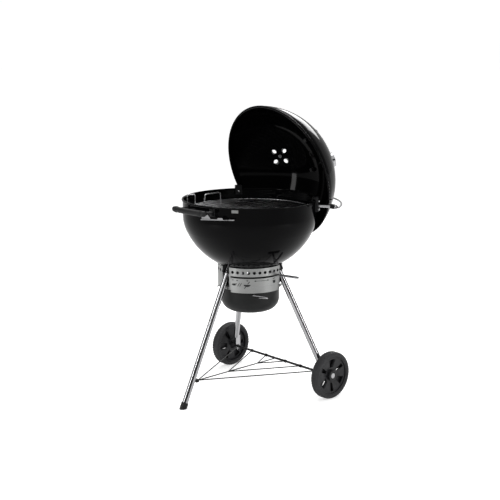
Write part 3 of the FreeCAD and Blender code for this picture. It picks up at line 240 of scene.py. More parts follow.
def brushed_group():
    """Fine lines of a brushed or drawn surface, long one way and close together the other."""
    tree, enter, leave = new_group(
        "Brushed lines",
        [("Stretch", "NodeSocketVector", (6.0, 6.0, 900.0))],
        [("Height", "NodeSocketFloat"), ("Shade", "NodeSocketFloat")],
    )
    place = add_node(tree, "ShaderNodeTexCoord", (-700, -200))
    stretch = add_node(tree, "ShaderNodeVectorMath", (-500, 0), operation="MULTIPLY")
    lines = noise_node(tree, (-300, 0), scale=1.0, detail=4.0, roughness=0.65)
    spread = map_range(tree, (0, 0), 0.3, 0.7, 0.0, 1.0)
    join(tree, place, "Object", stretch, 0)
    join(tree, enter, "Stretch", stretch, 1)
    join(tree, stretch, "Vector", lines, "Vector")
    join(tree, lines, "Fac", spread, "Value")
    join(tree, lines, "Fac", leave, "Height")
    join(tree, spread, "Result", leave, "Shade")
    return tree


def wear_group():
    """Mask of edges rubbed by handling, broken up so that no edge is evenly worn."""
    tree, enter, leave = new_group(
        "Edge wear",
        [("Amount", "NodeSocketFloat", 0.5), ("Patch scale", "NodeSocketFloat", 60.0)],
        [("Mask", "NodeSocketFloat")],
    )
    geometry = add_node(tree, "ShaderNodeNewGeometry", (-700, 200))
    place = add_node(tree, "ShaderNodeTexCoord", (-700, -200))
    edge = map_range(tree, (-450, 200), 0.52, 0.62, 0.0, 1.0)
    patches = noise_node(tree, (-450, -200))
    broken = add_node(tree, "ShaderNodeMath", (-150, 0), operation="MULTIPLY")
    scaled = add_node(tree, "ShaderNodeMath", (100, 0), operation="MULTIPLY", use_clamp=True)
    join(tree, geometry, "Pointiness", edge, "Value")
    join(tree, place, "Object", patches, "Vector")
    join(tree, enter, "Patch scale", patches, "Scale")
    join(tree, edge, "Result", broken, 0)
    join(tree, patches, "Fac", broken, 1)
    join(tree, broken, "Value", scaled, 0)
    join(tree, enter, "Amount", scaled, 1)
    join(tree, scaled, "Value", leave, "Mask")
    return tree


def dust_group():
    """Thin dust that settles on faces that look up."""
    tree, enter, leave = new_group(
        "Dust film",
        [("Amount", "NodeSocketFloat", 0.1), ("Speck scale", "NodeSocketFloat", 160.0)],
        [("Mask", "NodeSocketFloat")],
    )
    geometry = add_node(tree, "ShaderNodeNewGeometry", (-900, 200))
    split = add_node(tree, "ShaderNodeSeparateXYZ", (-700, 200))
    upward = map_range(tree, (-450, 200), 0.1, 0.9, 0.0, 1.0)
    place = add_node(tree, "ShaderNodeTexCoord", (-700, -200))
    specks = noise_node(tree, (-450, -200), detail=6.0)
    sparse = map_range(tree, (-200, -200), 0.45, 0.75, 0.0, 1.0)
    both = add_node(tree, "ShaderNodeMath", (50, 0), operation="MULTIPLY")
    scaled = add_node(tree, "ShaderNodeMath", (250, 0), operation="MULTIPLY", use_clamp=True)
    join(tree, geometry, "Normal", split, "Vector")
    join(tree, split, "Z", upward, "Value")
    join(tree, place, "Object", specks, "Vector")
    join(tree, enter, "Speck scale", specks, "Scale")
    join(tree, specks, "Fac", sparse, "Value")
    join(tree, upward, "Result", both, 0)
    join(tree, sparse, "Result", both, 1)
    join(tree, both, "Value", scaled, 0)
    join(tree, enter, "Amount", scaled, 1)
    join(tree, scaled, "Value", leave, "Mask")
    return tree


def shared_group(name):
    """The named effect group, built the first time that a material asks for it."""
    makers = {
        "Fine grain": grain_group, "Brushed lines": brushed_group,
        "Edge wear": wear_group, "Dust film": dust_group,
    }
    return bpy.data.node_groups.get(name) or makers[name]()


def place_group(tree, name, place, **values):
    node = add_node(tree, "ShaderNodeGroup", place, node_tree=shared_group(name))
    for label, value in values.items():
        node.inputs[label.replace("_", " ").capitalize()].default_value = value
    return node


# ---- material helpers ------------------------------------------------------
def new_material(name, **sockets):
    """Principled material with the given plain socket values."""
    material = bpy.data.materials.new(name + "_finish")
    material.use_nodes = True
    tree = material.node_tree
    tree.nodes.clear()
    shader = add_node(tree, "ShaderNodeBsdfPrincipled", (400, 0))
    result = add_node(tree, "ShaderNodeOutputMaterial", (750, 0))
    join(tree, shader, "BSDF", result, "Surface")
    for label, value in sockets.items():
        shader.inputs[label.replace("_", " ").title().replace("Ior", "IOR")].default_value = value
    return material, tree, shader


def colour_mix(tree, mask, place):
    """Colour mix node with its mask joined; returns its two colour inputs and its colour output."""
    mix = add_node(tree, "ShaderNodeMix", place, data_type="RGBA")
    tree.links.new(mask, mix.inputs[0])
    first, second = [socket for socket in mix.inputs if socket.type == "RGBA"]
    result = [socket for socket in mix.outputs if socket.type == "RGBA"][0]
    return first, second, result


def tint(tree, mask, base, other, place):
    """Colour that goes from base to other with the mask."""
    first, second, result = colour_mix(tree, mask, place)
    first.default_value = (*base, 1.0)
    second.default_value = (*other, 1.0)
    return result


def tint_over(tree, mask, colour, other, place):
    """Incoming colour that goes to other with the mask."""
    first, second, result = colour_mix(tree, mask, place)
    tree.links.new(colour, first)
    second.default_value = (*other, 1.0)
    return result


def spread_roughness(tree, shader, mask, low, high, place=(50, -200)):
    node = map_range(tree, place, 0.0, 1.0, low, high)
    tree.links.new(mask, node.inputs["Value"])
    join(tree, node, "Result", shader, "Roughness")


def bump(tree, shader, height, strength, depth, place=(150, -450)):
    node = add_node(tree, "ShaderNodeBump", place)
    node.inputs["Strength"].default_value = strength
    node.inputs["Distance"].default_value = depth
    tree.links.new(height, node.inputs["Height"])
    join(tree, node, "Normal", shader, "Normal")


def lighter(colour, share):
    return tuple(min(1.0, part * share) for part in colour)


def dusty(tree, shader, colour, amount, place=(150, 250)):
    film = place_group(tree, "Dust film", (-300, 450), amount=amount)
    mixed = tint_over(tree, film.outputs["Mask"], colour, (0.20, 0.19, 0.18), place)
    gloss = shader.inputs["Specular IOR Level"]
    gloss.default_value = min(0.3, gloss.default_value)
    tree.links.new(mixed, shader.inputs["Base Color"])


def coated(name, colour, low, high, grain_scale, grain_strength, wear, wear_tone, dust):
    """Non-metal coating or moulding: grain, slow tone drift, rubbed edges and a little dust."""
    material, tree, shader = new_material(name, metallic=0.0)
    grain = place_group(tree, "Fine grain", (-600, 0), grain_scale=grain_scale)
    tone = tint(tree, grain.outputs["Drift"], lighter(colour, 0.85), lighter(colour, 1.2), (-300, 200))
    rubbed = place_group(tree, "Edge wear", (-600, 300), amount=wear)
    worn = tint_over(tree, rubbed.outputs["Mask"], tone, lighter(colour, wear_tone), (-100, 250))
    dusty(tree, shader, worn, dust)
    spread_roughness(tree, shader, grain.outputs["Drift"], low, high)
    bump(tree, shader, grain.outputs["Height"], grain_strength, 0.25 * MM)
    return material


def bare_metal(name, colour, low, high, stretch, line_strength, dark_share):
    """Metal with drawn or brushed lines that vary its tone, gloss and height."""
    material, tree, shader = new_material(name, metallic=1.0)
    lines = place_group(tree, "Brushed lines", (-600, 0), stretch=stretch)
    grain = place_group(tree, "Fine grain", (-600, -300), grain_scale=500.0, drift_scale=14.0)
    tone = tint(tree, lines.outputs["Shade"], lighter(colour, dark_share), colour, (-300, 200))
    soft = tint_over(tree, grain.outputs["Drift"], tone, lighter(colour, 0.94), (-100, 200))
    tree.links.new(soft, shader.inputs["Base Color"])
    spread_roughness(tree, shader, lines.outputs["Shade"], low, high)
    bump(tree, shader, lines.outputs["Height"], line_strength, 0.05 * MM)
    return material


# ---- one function for each finish ------------------------------------------
def enamel(looks):
    """Deep black porcelain enamel: wet gloss with the faint waviness of a fired coat."""
    material, tree, shader = new_material("enamel", metallic=0.0, ior=1.5, specular_ior_level=0.07)
    grain = place_group(tree, "Fine grain", (-600, 0), grain_scale=55.0, drift_scale=5.0)
    tone = tint(tree, grain.outputs["Drift"], looks.enamel, lighter(looks.enamel, 1.5), (-300, 200))
    dusty(tree, shader, tone, 0.012)
    spread_roughness(
        tree, shader, grain.outputs["Drift"], looks.enamel_roughness * 0.8, looks.enamel_roughness * 1.25
    )
    bump(tree, shader, grain.outputs["Height"], 0.05, 0.4 * MM)
    return material


def black_steel(looks):
    return coated("black_steel", looks.coated_steel, 0.34, 0.46, 1400.0, 0.12, 0.5, 4.0, 0.05)


def bucket_steel(looks):
    return coated("bucket_steel", looks.bucket, 0.40, 0.52, 1100.0, 0.10, 0.2, 2.5, 0.05)


def nylon(looks):
    return coated("nylon", looks.grip, 0.42, 0.56, 800.0, 0.55, 0.35, 3.0, 0.06)


def wheel_plastic(looks):
    return coated("wheel_plastic", looks.wheel, 0.36, 0.50, 1000.0, 0.22, 0.4, 2.2, 0.06)


def tyre_plastic(looks):
    return coated("tyre_plastic", looks.tyre, 0.48, 0.62, 650.0, 0.40, 0.3, 1.8, 0.10)


def chrome(looks):
    return bare_metal("chrome", looks.plating, 0.08, 0.17, (90.0, 90.0, 3.0), 0.008, 0.9)


def band_aluminium(looks):
    return bare_metal("band_aluminium", looks.band, 0.24, 0.40, (5.0, 5.0, 1400.0), 0.16, 0.78)


def grate_steel(looks):
    return bare_metal("grate_steel", looks.grate_wire, 0.20, 0.34, (5.0, 420.0, 420.0), 0.10, 0.72)


def coal_steel(looks):
    return bare_metal("coal_steel", looks.coal_wire, 0.38, 0.55, (5.0, 300.0, 300.0), 0.15, 0.60)


def blade_steel(looks):
    return bare_metal("blade_steel", looks.lever, 0.34, 0.50, (60.0, 60.0, 500.0), 0.10, 0.80)


def dial_face(looks):
    """Printed white dial, very slightly uneven in its gloss."""
    material, tree, shader = new_material("dial_face", metallic=0.0)
    grain = place_group(tree, "Fine grain", (-600, 0), grain_scale=2000.0, drift_scale=40.0)
    tone = tint(tree, grain.outputs["Drift"], (0.80, 0.80, 0.78), (0.86, 0.86, 0.84), (-300, 200))
    tree.links.new(tone, shader.inputs["Base Color"])
    spread_roughness(tree, shader, grain.outputs["Drift"], 0.35, 0.45)
    return material


def dial_glass(looks):
    material, tree, shader = new_material(
        "dial_glass", metallic=0.0, transmission_weight=1.0, ior=1.45, base_color=(0.97, 0.985, 0.98, 1.0)
    )
    grain = place_group(tree, "Fine grain", (-600, 0), grain_scale=300.0, drift_scale=30.0)
    spread_roughness(tree, shader, grain.outputs["Drift"], 0.01, 0.04)
    return material


def needle_red(looks):
    return coated("needle_red", (0.50, 0.035, 0.02), 0.30, 0.40, 1500.0, 0.05, 0.2, 1.5, 0.0)


def mark_ink(looks):
    """Dark etched marks on the panel and the dial."""
    return coated("mark_ink", (0.012, 0.012, 0.013), 0.40, 0.55, 1500.0, 0.08, 0.0, 1.0, 0.0)


DARKENED = {
    "lid_handle_nuts": "black_steel", "lid_heat_shield": "coal_steel", "lid_vent_rivet": "coal_steel",
}
MAKERS = {
    "enamel": enamel, "black_steel": black_steel, "chrome": chrome, "band_aluminium": band_aluminium,
    "grate_steel": grate_steel, "coal_steel": coal_steel, "bucket_steel": bucket_steel,
    "blade_steel": blade_steel, "nylon": nylon, "wheel_plastic": wheel_plastic,
    "tyre_plastic": tyre_plastic, "dial_face": dial_face, "dial_glass": dial_glass,
    "needle_red": needle_red, "mark_ink": mark_ink,
}


def finish(name):
    """The finish's material, made the first time that a piece asks for it."""
    return bpy.data.materials.get(name + "_finish") or MAKERS[name](bpy.context.scene.grill_finishes)


# ---- mesh helpers ----------------------------------------------------------
def add_object(name, data):
    thing = bpy.data.objects.new(name, data)
    bpy.context.scene.collection.objects.link(thing)
    return thing


def place_piece(name, mesh, body, slot, replaced=(), material=None):
    """Puts a mesh in the scene as a piece that rides on its body with its finish."""
    piece = add_object(name, mesh)
    mesh.materials.clear()
    mesh.materials.append(finish(material or slot))
    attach(piece, body)
    if replaced:
        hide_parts(*replaced)
    return piece


def piece_from(name, shape, body, slot, replaced=(), material=None, sharp=40.0):
    """Closes a bmesh into a piece, smooth but for edges sharper than the angle."""
    bmesh.ops.remove_doubles(shape, verts=shape.verts, dist=0.001 * MM)
    bmesh.ops.recalc_face_normals(shape, faces=shape.faces)
    mesh = bpy.data.meshes.new(name)
    shape.to_mesh(mesh)
    shape.free()
    mesh.shade_smooth()
    mesh.set_sharp_from_angle(angle=math.radians(sharp))
    return place_piece(name, mesh, body, slot, replaced, material)


def rounded(corners, rounding, steps=3):
    """Outline whose corners are swapped for short curves."""
    outline = []
    for i, corner in enumerate(corners):
        here = Vector(corner)
        before = Vector(corners[i - 1]) - here
        after = Vector(corners[(i + 1) % len(corners)]) - here
        reach = min(rounding, 0.45 * before.length, 0.45 * after.length)
        start, end = here + before.normalized() * reach, here + after.normalized() * reach
        for step in range(steps + 1):
            t = step / steps
            outline.append(tuple(start * (1 - t) ** 2 + here * 2 * t * (1 - t) + end * t * t))
    return outline


def bridge_rings(shape, rings, closed):
    """Quads between each ring of corners and the next, and back to the first when closed."""
    pairs = list(zip(rings, rings[1:] + rings[:1])) if closed else list(zip(rings, rings[1:]))
    for ring, following in pairs:
        count = len(ring)
        for j in range(count):
            k = (j + 1) % count
            shape.faces.new((ring[j], following[j], following[k], ring[k]))


def lathe(shape, profile, steps, matrix, change=None):
    """Turns a closed outline of (radius, height) about the local Z axis."""
    rings = []
    for i in range(steps):
        turn = 2 * math.pi * i / steps
        ring = []
        for radius, height in profile:
            if change:
                radius, height = change(radius, height, turn)
            local = Vector((radius * math.cos(turn), radius * math.sin(turn), height))
            ring.append(shape.verts.new(matrix @ local))
        rings.append(ring)
    bridge_rings(shape, rings, True)


def loft(shape, sections):
    """Skin through closed sections of points, capped at both ends."""
    rings = [[shape.verts.new(point) for point in section] for section in sections]
    bridge_rings(shape, rings, False)
    shape.faces.new(rings[0])
    shape.faces.new(rings[-1][::-1])


def axes_matrix(place, out, side):
    """Local frame at a place, with Z along out and X near side."""
    z = out.normalized()
    x = (side - z * side.dot(z)).normalized()
    y = z.cross(x)
    return Matrix.Translation(place) @ Matrix((x, y, z)).transposed().to_4x4()


def node_islands(name):
    """Boxes of a CAD node's separate solids, as (lowest, highest) corners."""
    shape = bmesh.new()
    shape.from_mesh(NODES[name].data)
    bmesh.ops.remove_doubles(shape, verts=shape.verts, dist=0.01 * MM)
    left = set(shape.verts)
    boxes = []
    while left:
        todo, found = [left.pop()], []
        while todo:
            vert = todo.pop()
            found.append(vert.co.copy())
            for edge in vert.link_edges:
                other = edge.other_vert(vert)
                if other in left:
                    left.remove(other)
                    todo.append(other)
        low = Vector(min(point[i] for point in found) for i in range(3))
        high = Vector(max(point[i] for point in found) for i in range(3))
        boxes.append((low, high))
    shape.free()
    return sorted(boxes, key=lambda box: tuple(box[0]))


def softened(node, slot, width):
    """Copy of an angular CAD node with its edges rounded over."""
    shape = bmesh.new()
    shape.from_mesh(NODES[node].data)
    bmesh.ops.remove_doubles(shape, verts=shape.verts, dist=0.005 * MM)
    bmesh.ops.dissolve_limit(shape, angle_limit=math.radians(1.0), verts=shape.verts, edges=shape.edges)
    body = NODES[node]["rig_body"]
    piece = piece_from(node + "_soft", shape, body, slot, (node,), sharp=50.0)
    rounding = piece.modifiers.new("Rounded edges", "BEVEL")
    rounding.width = width
    rounding.segments = 3
    rounding.limit_method = "ANGLE"
    rounding.angle_limit = math.radians(40)
    rounding.use_clamp_overlap = True
    rounding.harden_normals = True
    return piece


# ---- wheels ----------------------------------------------------------------
HUB_R = 22 * MM
HUB_BORE_R = 5.06 * MM
RIM_INNER_R = 78.6 * MM
RIM_OUTER_R = 84.5 * MM
BOSS_REACH = 41.7 * MM
WINDOW_INNER_R = 34 * MM
WINDOW_OUTER_R = 71 * MM
WEB_STEPS = 180
BACK_WEB_DROP = 16 * MM
BACK_WEB_THICKNESS = 2.2 * MM


def wheel_frame(body):
    """Local frame of a wheel: Z points away from the grill, along the axle."""
    place = Vector(JOINTS[body + "_spin"]["pos_m"])
    return axes_matrix(place, FRONT[body], Vector((0, 0, 1)))


def tyre_outline(half):
    crown = WHEEL_R
    shoulder = crown - 2.5 * MM
    flank = RIM_OUTER_R + 0.2 * MM
    side = [
        (flank, -half + 1.6 * MM), (flank + 2 * MM, -half),
        (crown - 8 * MM, -half), (crown - 3 * MM, -half + 2 * MM),
        (shoulder + 1.4 * MM, -half + 5 * MM), (crown - 0.3 * MM, -half + 8.5 * MM),
    ]
    grooves = []
    for z in (-5.5 * MM, 0.0, 5.5 * MM):
        grooves += [(crown, z - 1.3 * MM), (crown - 1.1 * MM, z - 0.8 * MM)]
        grooves += [(crown - 1.1 * MM, z + 0.8 * MM), (crown, z + 1.3 * MM)]
    return side + grooves + [(radius, -height) for radius, height in side[::-1]]


def make_tyre(body):
    wheels = bpy.context.scene.grill_wheels
    half = WHEEL_HALF_WIDTH
    notches = wheels.shoulder_notches

    def notch(radius, height, turn):
        on_shoulder = abs(height) > 0.55 * half and radius > WHEEL_R - 4 * MM
        in_notch = (turn / (2 * math.pi) * notches) % 1.0 < 0.34
        return (radius - wheels.groove, height) if on_shoulder and in_notch else (radius, height)

    shape = bmesh.new()
    lathe(shape, rounded(tyre_outline(half), 0.6 * MM, 2), notches * 6, wheel_frame(body), notch)
    piece_from(body + "_tyre_tread", shape, body, "tyre_plastic", (body + "_tyre",), sharp=50.0)


def web_height(radius):
    """Height of the dished web's outer face: it rises from the hub to the rim."""
    share = (radius - HUB_R) / (RIM_INNER_R - HUB_R)
    return (3 + 9 * share + 1.6 * math.sin(math.pi * share)) * MM


def in_window(angle, radius, windows):
    pitch = 2 * math.pi / windows
    nearest = round(angle / pitch)
    half = math.radians(16 if nearest % 2 == 0 else 9)
    return abs(angle - nearest * pitch) < half and WINDOW_INNER_R < radius < WINDOW_OUTER_R


def make_web(name, body, matrix, drop=0.0, thickness=4.6 * MM):
    """Dished disc with windows, thick as a moulding and soft at every edge."""
    windows = bpy.context.scene.grill_wheels.windows
    radii = [HUB_R - 2 * MM, 27 * MM, WINDOW_INNER_R, 40 * MM, 52 * MM, 64 * MM, WINDOW_OUTER_R]
    radii.append(RIM_INNER_R + 2 * MM)
    shape = bmesh.new()
    grid = []
    for i in range(WEB_STEPS):
        turn = 2 * math.pi * i / WEB_STEPS
        ring = []
        for radius in radii:
            local = Vector((radius * math.cos(turn), radius * math.sin(turn), web_height(radius) - drop))
            ring.append(shape.verts.new(matrix @ local))
        grid.append(ring)
    for i in range(WEB_STEPS):
        following = grid[(i + 1) % WEB_STEPS]
        middle_turn = 2 * math.pi * (i + 0.5) / WEB_STEPS
        for j in range(len(radii) - 1):
            middle_radius = (radii[j] + radii[j + 1]) / 2
            if not in_window(middle_turn, middle_radius, windows):
                shape.faces.new((grid[i][j], following[j], following[j + 1], grid[i][j + 1]))
    piece = piece_from(name, shape, body, "wheel_plastic", sharp=180.0)
    thick = piece.modifiers.new("Thickness", "SOLIDIFY")
    thick.thickness = thickness
    thick.offset = -1.0
    soft = piece.modifiers.new("Soft edges", "BEVEL")
    soft.width = 1.0 * MM
    soft.segments = 3
    soft.limit_method = "ANGLE"
    soft.angle_limit = math.radians(50)
    return piece


def make_hub_and_rim(body, matrix):
    half = WHEEL_HALF_WIDTH
    hub = [
        (HUB_BORE_R, -BOSS_REACH), (13 * MM, -BOSS_REACH), (13 * MM, -8 * MM), (HUB_R, -8 * MM),
        (HUB_R, half - 2 * MM),
        (15 * MM, half - 2 * MM), (15 * MM, half - 8 * MM), (HUB_BORE_R, half - 8 * MM),
    ]
    rim = [
        (RIM_INNER_R, -half + 2 * MM), (RIM_OUTER_R, -half + 2 * MM), (RIM_OUTER_R, half - 2 * MM),
        (RIM_INNER_R, half - 2 * MM),
    ]
    shape = bmesh.new()
    lathe(shape, rounded(hub, 1.2 * MM, 3), 72, matrix)
    lathe(shape, rounded(rim, 1.2 * MM, 3), 144, matrix)
    for i in range(2 * bpy.context.scene.grill_wheels.windows):
        turn = (i + 0.5) * math.pi / bpy.context.scene.grill_wheels.windows
        add_rib(shape, matrix @ Matrix.Rotation(turn, 4, "Z"))
    return piece_from(
        body + "_hub_and_rim", shape, body, "wheel_plastic", (body + "_centre",), sharp=45.0
    )


def add_rib(shape, matrix):
    """Tapered rib behind the web, from the hub to the rim."""
    half_thick = 1.8 * MM
    sections = []
    for radius, low in ((HUB_R - 1 * MM, -9 * MM), (50 * MM, -4 * MM), (RIM_INNER_R + 1 * MM, -9 * MM)):
        top = web_height(radius) - 2 * MM
        corners = [(-half_thick, low), (half_thick, low), (half_thick, top), (-half_thick, top)]
        corners = rounded(corners, 0.6 * MM, 2)
        sections.append([matrix @ Vector((radius, y, z)) for y, z in corners])
    loft(shape, sections)


# ---- grips -----------------------------------------------------------------
GRIP_COLLAR_REACH = 78 * MM
LID_GRIP_BOW = 5 * MM
SECTION_POINTS = 32


def grip_section(matrix, along, rise, width, height):
    """Rounded-square section across a grip at a distance along its local X axis."""
    points = []
    for i in range(SECTION_POINTS):
        turn = 2 * math.pi * i / SECTION_POINTS
        c, s = math.cos(turn), math.sin(turn)
        y = width * math.copysign(abs(c) ** 0.8, c)
        z = height * math.copysign(abs(s) ** 0.8, s)
        points.append(matrix @ Vector((along, y, rise + z)))
    return points


def make_grip(name, node, matrix, half_length, radius, bow, collars, body):
    """Bowed moulded grip: domed ends, a collar near each end and finger hollows below."""
    grips = bpy.context.scene.grill_grips
    sections = []
    steps = 112
    reach = half_length + radius
    for i in range(steps + 1):
        turn = math.pi * i / steps
        along = -reach * math.cos(turn)
        beyond = max(0.0, abs(along) - half_length) / radius
        end = math.sqrt(max(0.0004, 1.0 - beyond ** 2))
        rise = -bow * min(1.0, abs(along) / half_length) ** 2
        size = radius * 0.96 * end
        for collar in collars:
            if abs(abs(along) - collar) < 4 * MM:
                size = (radius + 1.0 * MM) * end
            elif abs(abs(along) - collar) < 5.6 * MM:
                size = (radius - 1.4 * MM) * end
        hollow = 0.0
        if abs(along) < 0.62 * half_length and grips.ridges:
            wave = math.cos(2 * math.pi * (grips.ridges + 0.5) * along / (1.24 * half_length))
            hollow = grips.ridge_depth * (0.5 + 0.5 * wave)
        section = grip_section(matrix, along, rise, size, size)
        centre = matrix @ Vector((along, 0, rise))
        down = -(matrix.to_3x3() @ Vector((0, 0, 1)))
        section = [
            point - down * hollow * max(0.0, (point - centre).dot(down) / max(size, 1e-6))
            for point in section
        ]
        sections.append(section)
    shape = bmesh.new()
    loft(shape, sections)
    piece_from(name, shape, body, "nylon", (node,), sharp=50.0)


def end_centres(node, radius):
    """Centres of the two ball ends of a leaning grip, top end first."""
    corners = [vert.co for vert in NODES[node].data.vertices]
    top = max(corners, key=lambda point: point.z)
    bottom = min(corners, key=lambda point: point.z)
    return Vector((top.x, 0, top.z - radius)), Vector((bottom.x, 0, bottom.z + radius))


# ---- vent lever ------------------------------------------------------------
LEVER_ROOT = 9 * MM
LEVER_TIP_ROUNDING = 14 * MM
LEVER_STEPS = 60
LEVER_SECTION_POINTS = 28


def share_between(value, low, high):
    return min(1.0, max(0.0, (value - low) / (high - low)))


def lever_section(matrix, along, rise, round_off):
    """Section of the lever: a flat strap where rise is 0, a rounded paddle where it is 1."""
    half_width = (5.0 + 4.6 * rise) * MM * round_off
    half_thick = (1.5 + 3.2 * rise) * MM * (0.35 + 0.65 * round_off)
    power = 0.35 + 0.5 * rise
    section = []
    for k in range(LEVER_SECTION_POINTS):
        turn = 2 * math.pi * k / LEVER_SECTION_POINTS
        c, s = math.cos(turn), math.sin(turn)
        y = half_width * math.copysign(abs(c) ** power, c)
        z = half_thick * math.copysign(abs(s) ** power, s)
        section.append(matrix @ Vector((along, y, z)))
    return section


# ---- panel marks -----------------------------------------------------------
def panel_radius():
    """Outer radius of the control panel about the bowl's axis."""
    return max((Vector((v.co.x, v.co.y, 0)) - AXIS).length for v in NODES["control_panel"].data.vertices)


def add_mark(shape, angles, edges):
    """Thin plate that follows the panel's curve; edges gives its low and high edge at an angle."""
    base = panel_radius() - 0.05 * MM
    rings = []
    for angle in angles:
        turn = math.radians(angle)
        low, high = edges(angle)
        ring = []
        for radius, height in ((base, low), (base + 0.3 * MM, low), (base + 0.3 * MM, high), (base, high)):
            place = AXIS + Vector((radius * math.cos(turn), radius * math.sin(turn), height))
            ring.append(shape.verts.new(place))
        rings.append(ring)
    bridge_rings(shape, rings, False)
    shape.faces.new(rings[0])
    shape.faces.new(rings[-1][::-1])


def steps_between(start, end, count=8):
    return [start + (end - start) * i / count for i in range(count + 1)]


def mark_oval(shape, angle, height, width, tall, low_share=1.0, high_share=1.0):
    """Oval, or a bowl shape when its upper share is small; width in degrees, height in metres."""
    def edges(at):
        reach = math.sqrt(max(0.02, 1 - ((at - angle) / (width / 2)) ** 2)) * tall / 2
        return height - reach * low_share, height + reach * high_share

    add_mark(shape, steps_between(angle - width / 2, angle + width / 2, 12), edges)


def mark_stroke(shape, start, end, low, high, thick):
    """Straight stroke from the low end at one angle to the high end at the other."""
    def edges(at):
        middle = low + (high - low) * (at - start) / (end - start)
        return middle - thick / 2, middle + thick / 2

    add_mark(shape, steps_between(start, end, max(2, round(abs(end - start)))), edges)


def mark_long_arrow(shape, start, end, height):
    """Thin double-headed line along the panel."""
    mark_stroke(shape, start, end, height, height, 1.5 * MM)
    for tip, tail in ((start, start + 3.6), (end, end - 3.6)):
        def edges(at, tip=tip, tail=tail):
            reach = 3.4 * MM * (at - tip) / (tail - tip) + 0.1 * MM
            return height - reach, height + reach

        add_mark(shape, steps_between(tip, tail, 4), edges)


# ---- fasteners -------------------------------------------------------------
RIVET_PROFILE = (
    (0.0, 0.0), (2.4 * MM, 0.0), (2.2 * MM, 0.7 * MM), (1.4 * MM, 1.2 * MM), (0.0, 1.35 * MM),
)


def socket_screw(shape, matrix, radius, height):
    """Domed screw head with a six-sided socket, its seat at the local origin."""
    profile = [
        (0.0, 0.0), (radius, 0.0), (radius, 0.35 * height), (0.86 * radius, 0.78 * height),
        (0.62 * radius, height), (0.5 * radius, height), (0.5 * radius, 0.45 * height),
        (0.0, 0.45 * height),
    ]

    def six_sided(r, z, turn):
        if r > 0.51 * radius or z < 0.4 * height:
            return r, z
        corner = (turn % (math.pi / 3)) - math.pi / 6
        return r * math.cos(math.pi / 6) / math.cos(corner), z

    lathe(shape, profile, 36, matrix, six_sided)


def away_from_axis(place):
    flat = Vector((place.x, place.y, 0)) - AXIS
    return flat.normalized()


# ---- operators -------------------------------------------------------------
class GRILL_OT_finishes(bpy.types.Operator):
    """Give every piece of the frame its finish"""

    bl_idname = "grill.finishes"
    bl_label = "Finishes"

    def execute(self, context):
        for part in frame["record"]["subparts"]:
            mesh = NODES[part["node"]].data
            mesh.materials.clear()
            mesh.materials.append(finish(DARKENED.get(part["node"], part["material_slot"])))
        return {"FINISHED"}


class GRILL_OT_wheels(bpy.types.Operator):
    """Build both wheels: grooved tyre, dished web with windows, hub, rim and ribs"""

    bl_idname = "grill.wheels"
    bl_label = "Wheels"

    def execute(self, context):
        for body in ("wheel_front", "wheel_rear"):
            matrix = wheel_frame(body)
            make_tyre(body)
            make_web(body + "_web", body, matrix)
            behind = matrix @ Matrix.Rotation(math.pi / context.scene.grill_wheels.windows, 4, "Z")
            make_web(body + "_back_web", body, behind, BACK_WEB_DROP, BACK_WEB_THICKNESS)
            make_hub_and_rim(body, matrix)
        return {"FINISHED"}


class GRILL_OT_grips(bpy.types.Operator):
    """Build the moulded grips of the bowl and the lid"""

    bl_idname = "grill.grips"
    bl_label = "Grips"

    def execute(self, context):
        collar_r = (GRIP_HIGH.z - GRIP_LOW.z) / 2
        radius = collar_r - 1.2 * MM
        bow = (GRIP_HIGH.x - GRIP_LOW.x) - collar_r - radius
        half_length = GRIP_HIGH.y - radius
        middle = Vector((GRIP_LOW.x + collar_r, 0, (GRIP_LOW.z + GRIP_HIGH.z) / 2))
        matrix = axes_matrix(middle, Vector((-1, 0, 0)), Vector((0, 1, 0)))
        collars = (GRIP_COLLAR_REACH,)
        make_grip("bowl_grip_moulded", "bowl_grip", matrix, half_length, radius, bow, collars, "frame")

        radius = (LID_GRIP_HIGH.y - LID_GRIP_LOW.y) / 2
        top, bottom = end_centres("lid_grip", radius)
        along = (top - bottom).normalized()
        out = Vector((along.z, 0, -along.x))
        bow = LID_GRIP_BOW
        matrix = axes_matrix((top + bottom) / 2 + out * bow, out, along)
        half_length = (top - bottom).length / 2
        make_grip("lid_grip_moulded", "lid_grip", matrix, half_length, radius, bow, (), "lid")
        return {"FINISHED"}


class GRILL_OT_lever(bpy.types.Operator):
    """Build the vent lever: flat strap that swells into a rounded paddle"""

    bl_idname = "grill.lever"
    bl_label = "Vent lever"

    def execute(self, context):
        corners = [vert.co for vert in NODES["damper_lever"].data.vertices]
        tip = max(corners, key=lambda point: (Vector((point.x, point.y, 0)) - AXIS).length)
        out = away_from_axis(tip)
        reach = (Vector((tip.x, tip.y, 0)) - AXIS).length
        middle_z = (LEVER_LOW.z + LEVER_HIGH.z) / 2
        matrix = axes_matrix(AXIS + Vector((0, 0, middle_z)), Vector((0, 0, 1)), out)
        ring_r = (RING_HIGH.y - RING_LOW.y) / 2
        neck, full, narrow = ring_r + 5 * MM, ring_r + 32 * MM, reach - LEVER_TIP_ROUNDING
        sections = []
        for i in range(LEVER_STEPS + 1):
            along = LEVER_ROOT + (reach - LEVER_ROOT) * i / LEVER_STEPS
            rise = share_between(along, neck, full)
            rise = rise * rise * (3 - 2 * rise)
            close = share_between(along, narrow, reach)
            sections.append(lever_section(matrix, along, rise, math.sqrt(max(0.01, 1 - close ** 2))))
        shape = bmesh.new()
        loft(shape, sections)
        hub = [(5.05 * MM, -1.5 * MM), (12 * MM, -1.5 * MM), (12 * MM, 1.5 * MM), (5.05 * MM, 1.5 * MM)]
        lathe(shape, rounded(hub, 0.4 * MM, 2), 48, matrix)
        piece_from("damper_lever_paddle", shape, "sweeper", "blade_steel", ("damper_lever",), sharp=60.0)
        return {"FINISHED"}


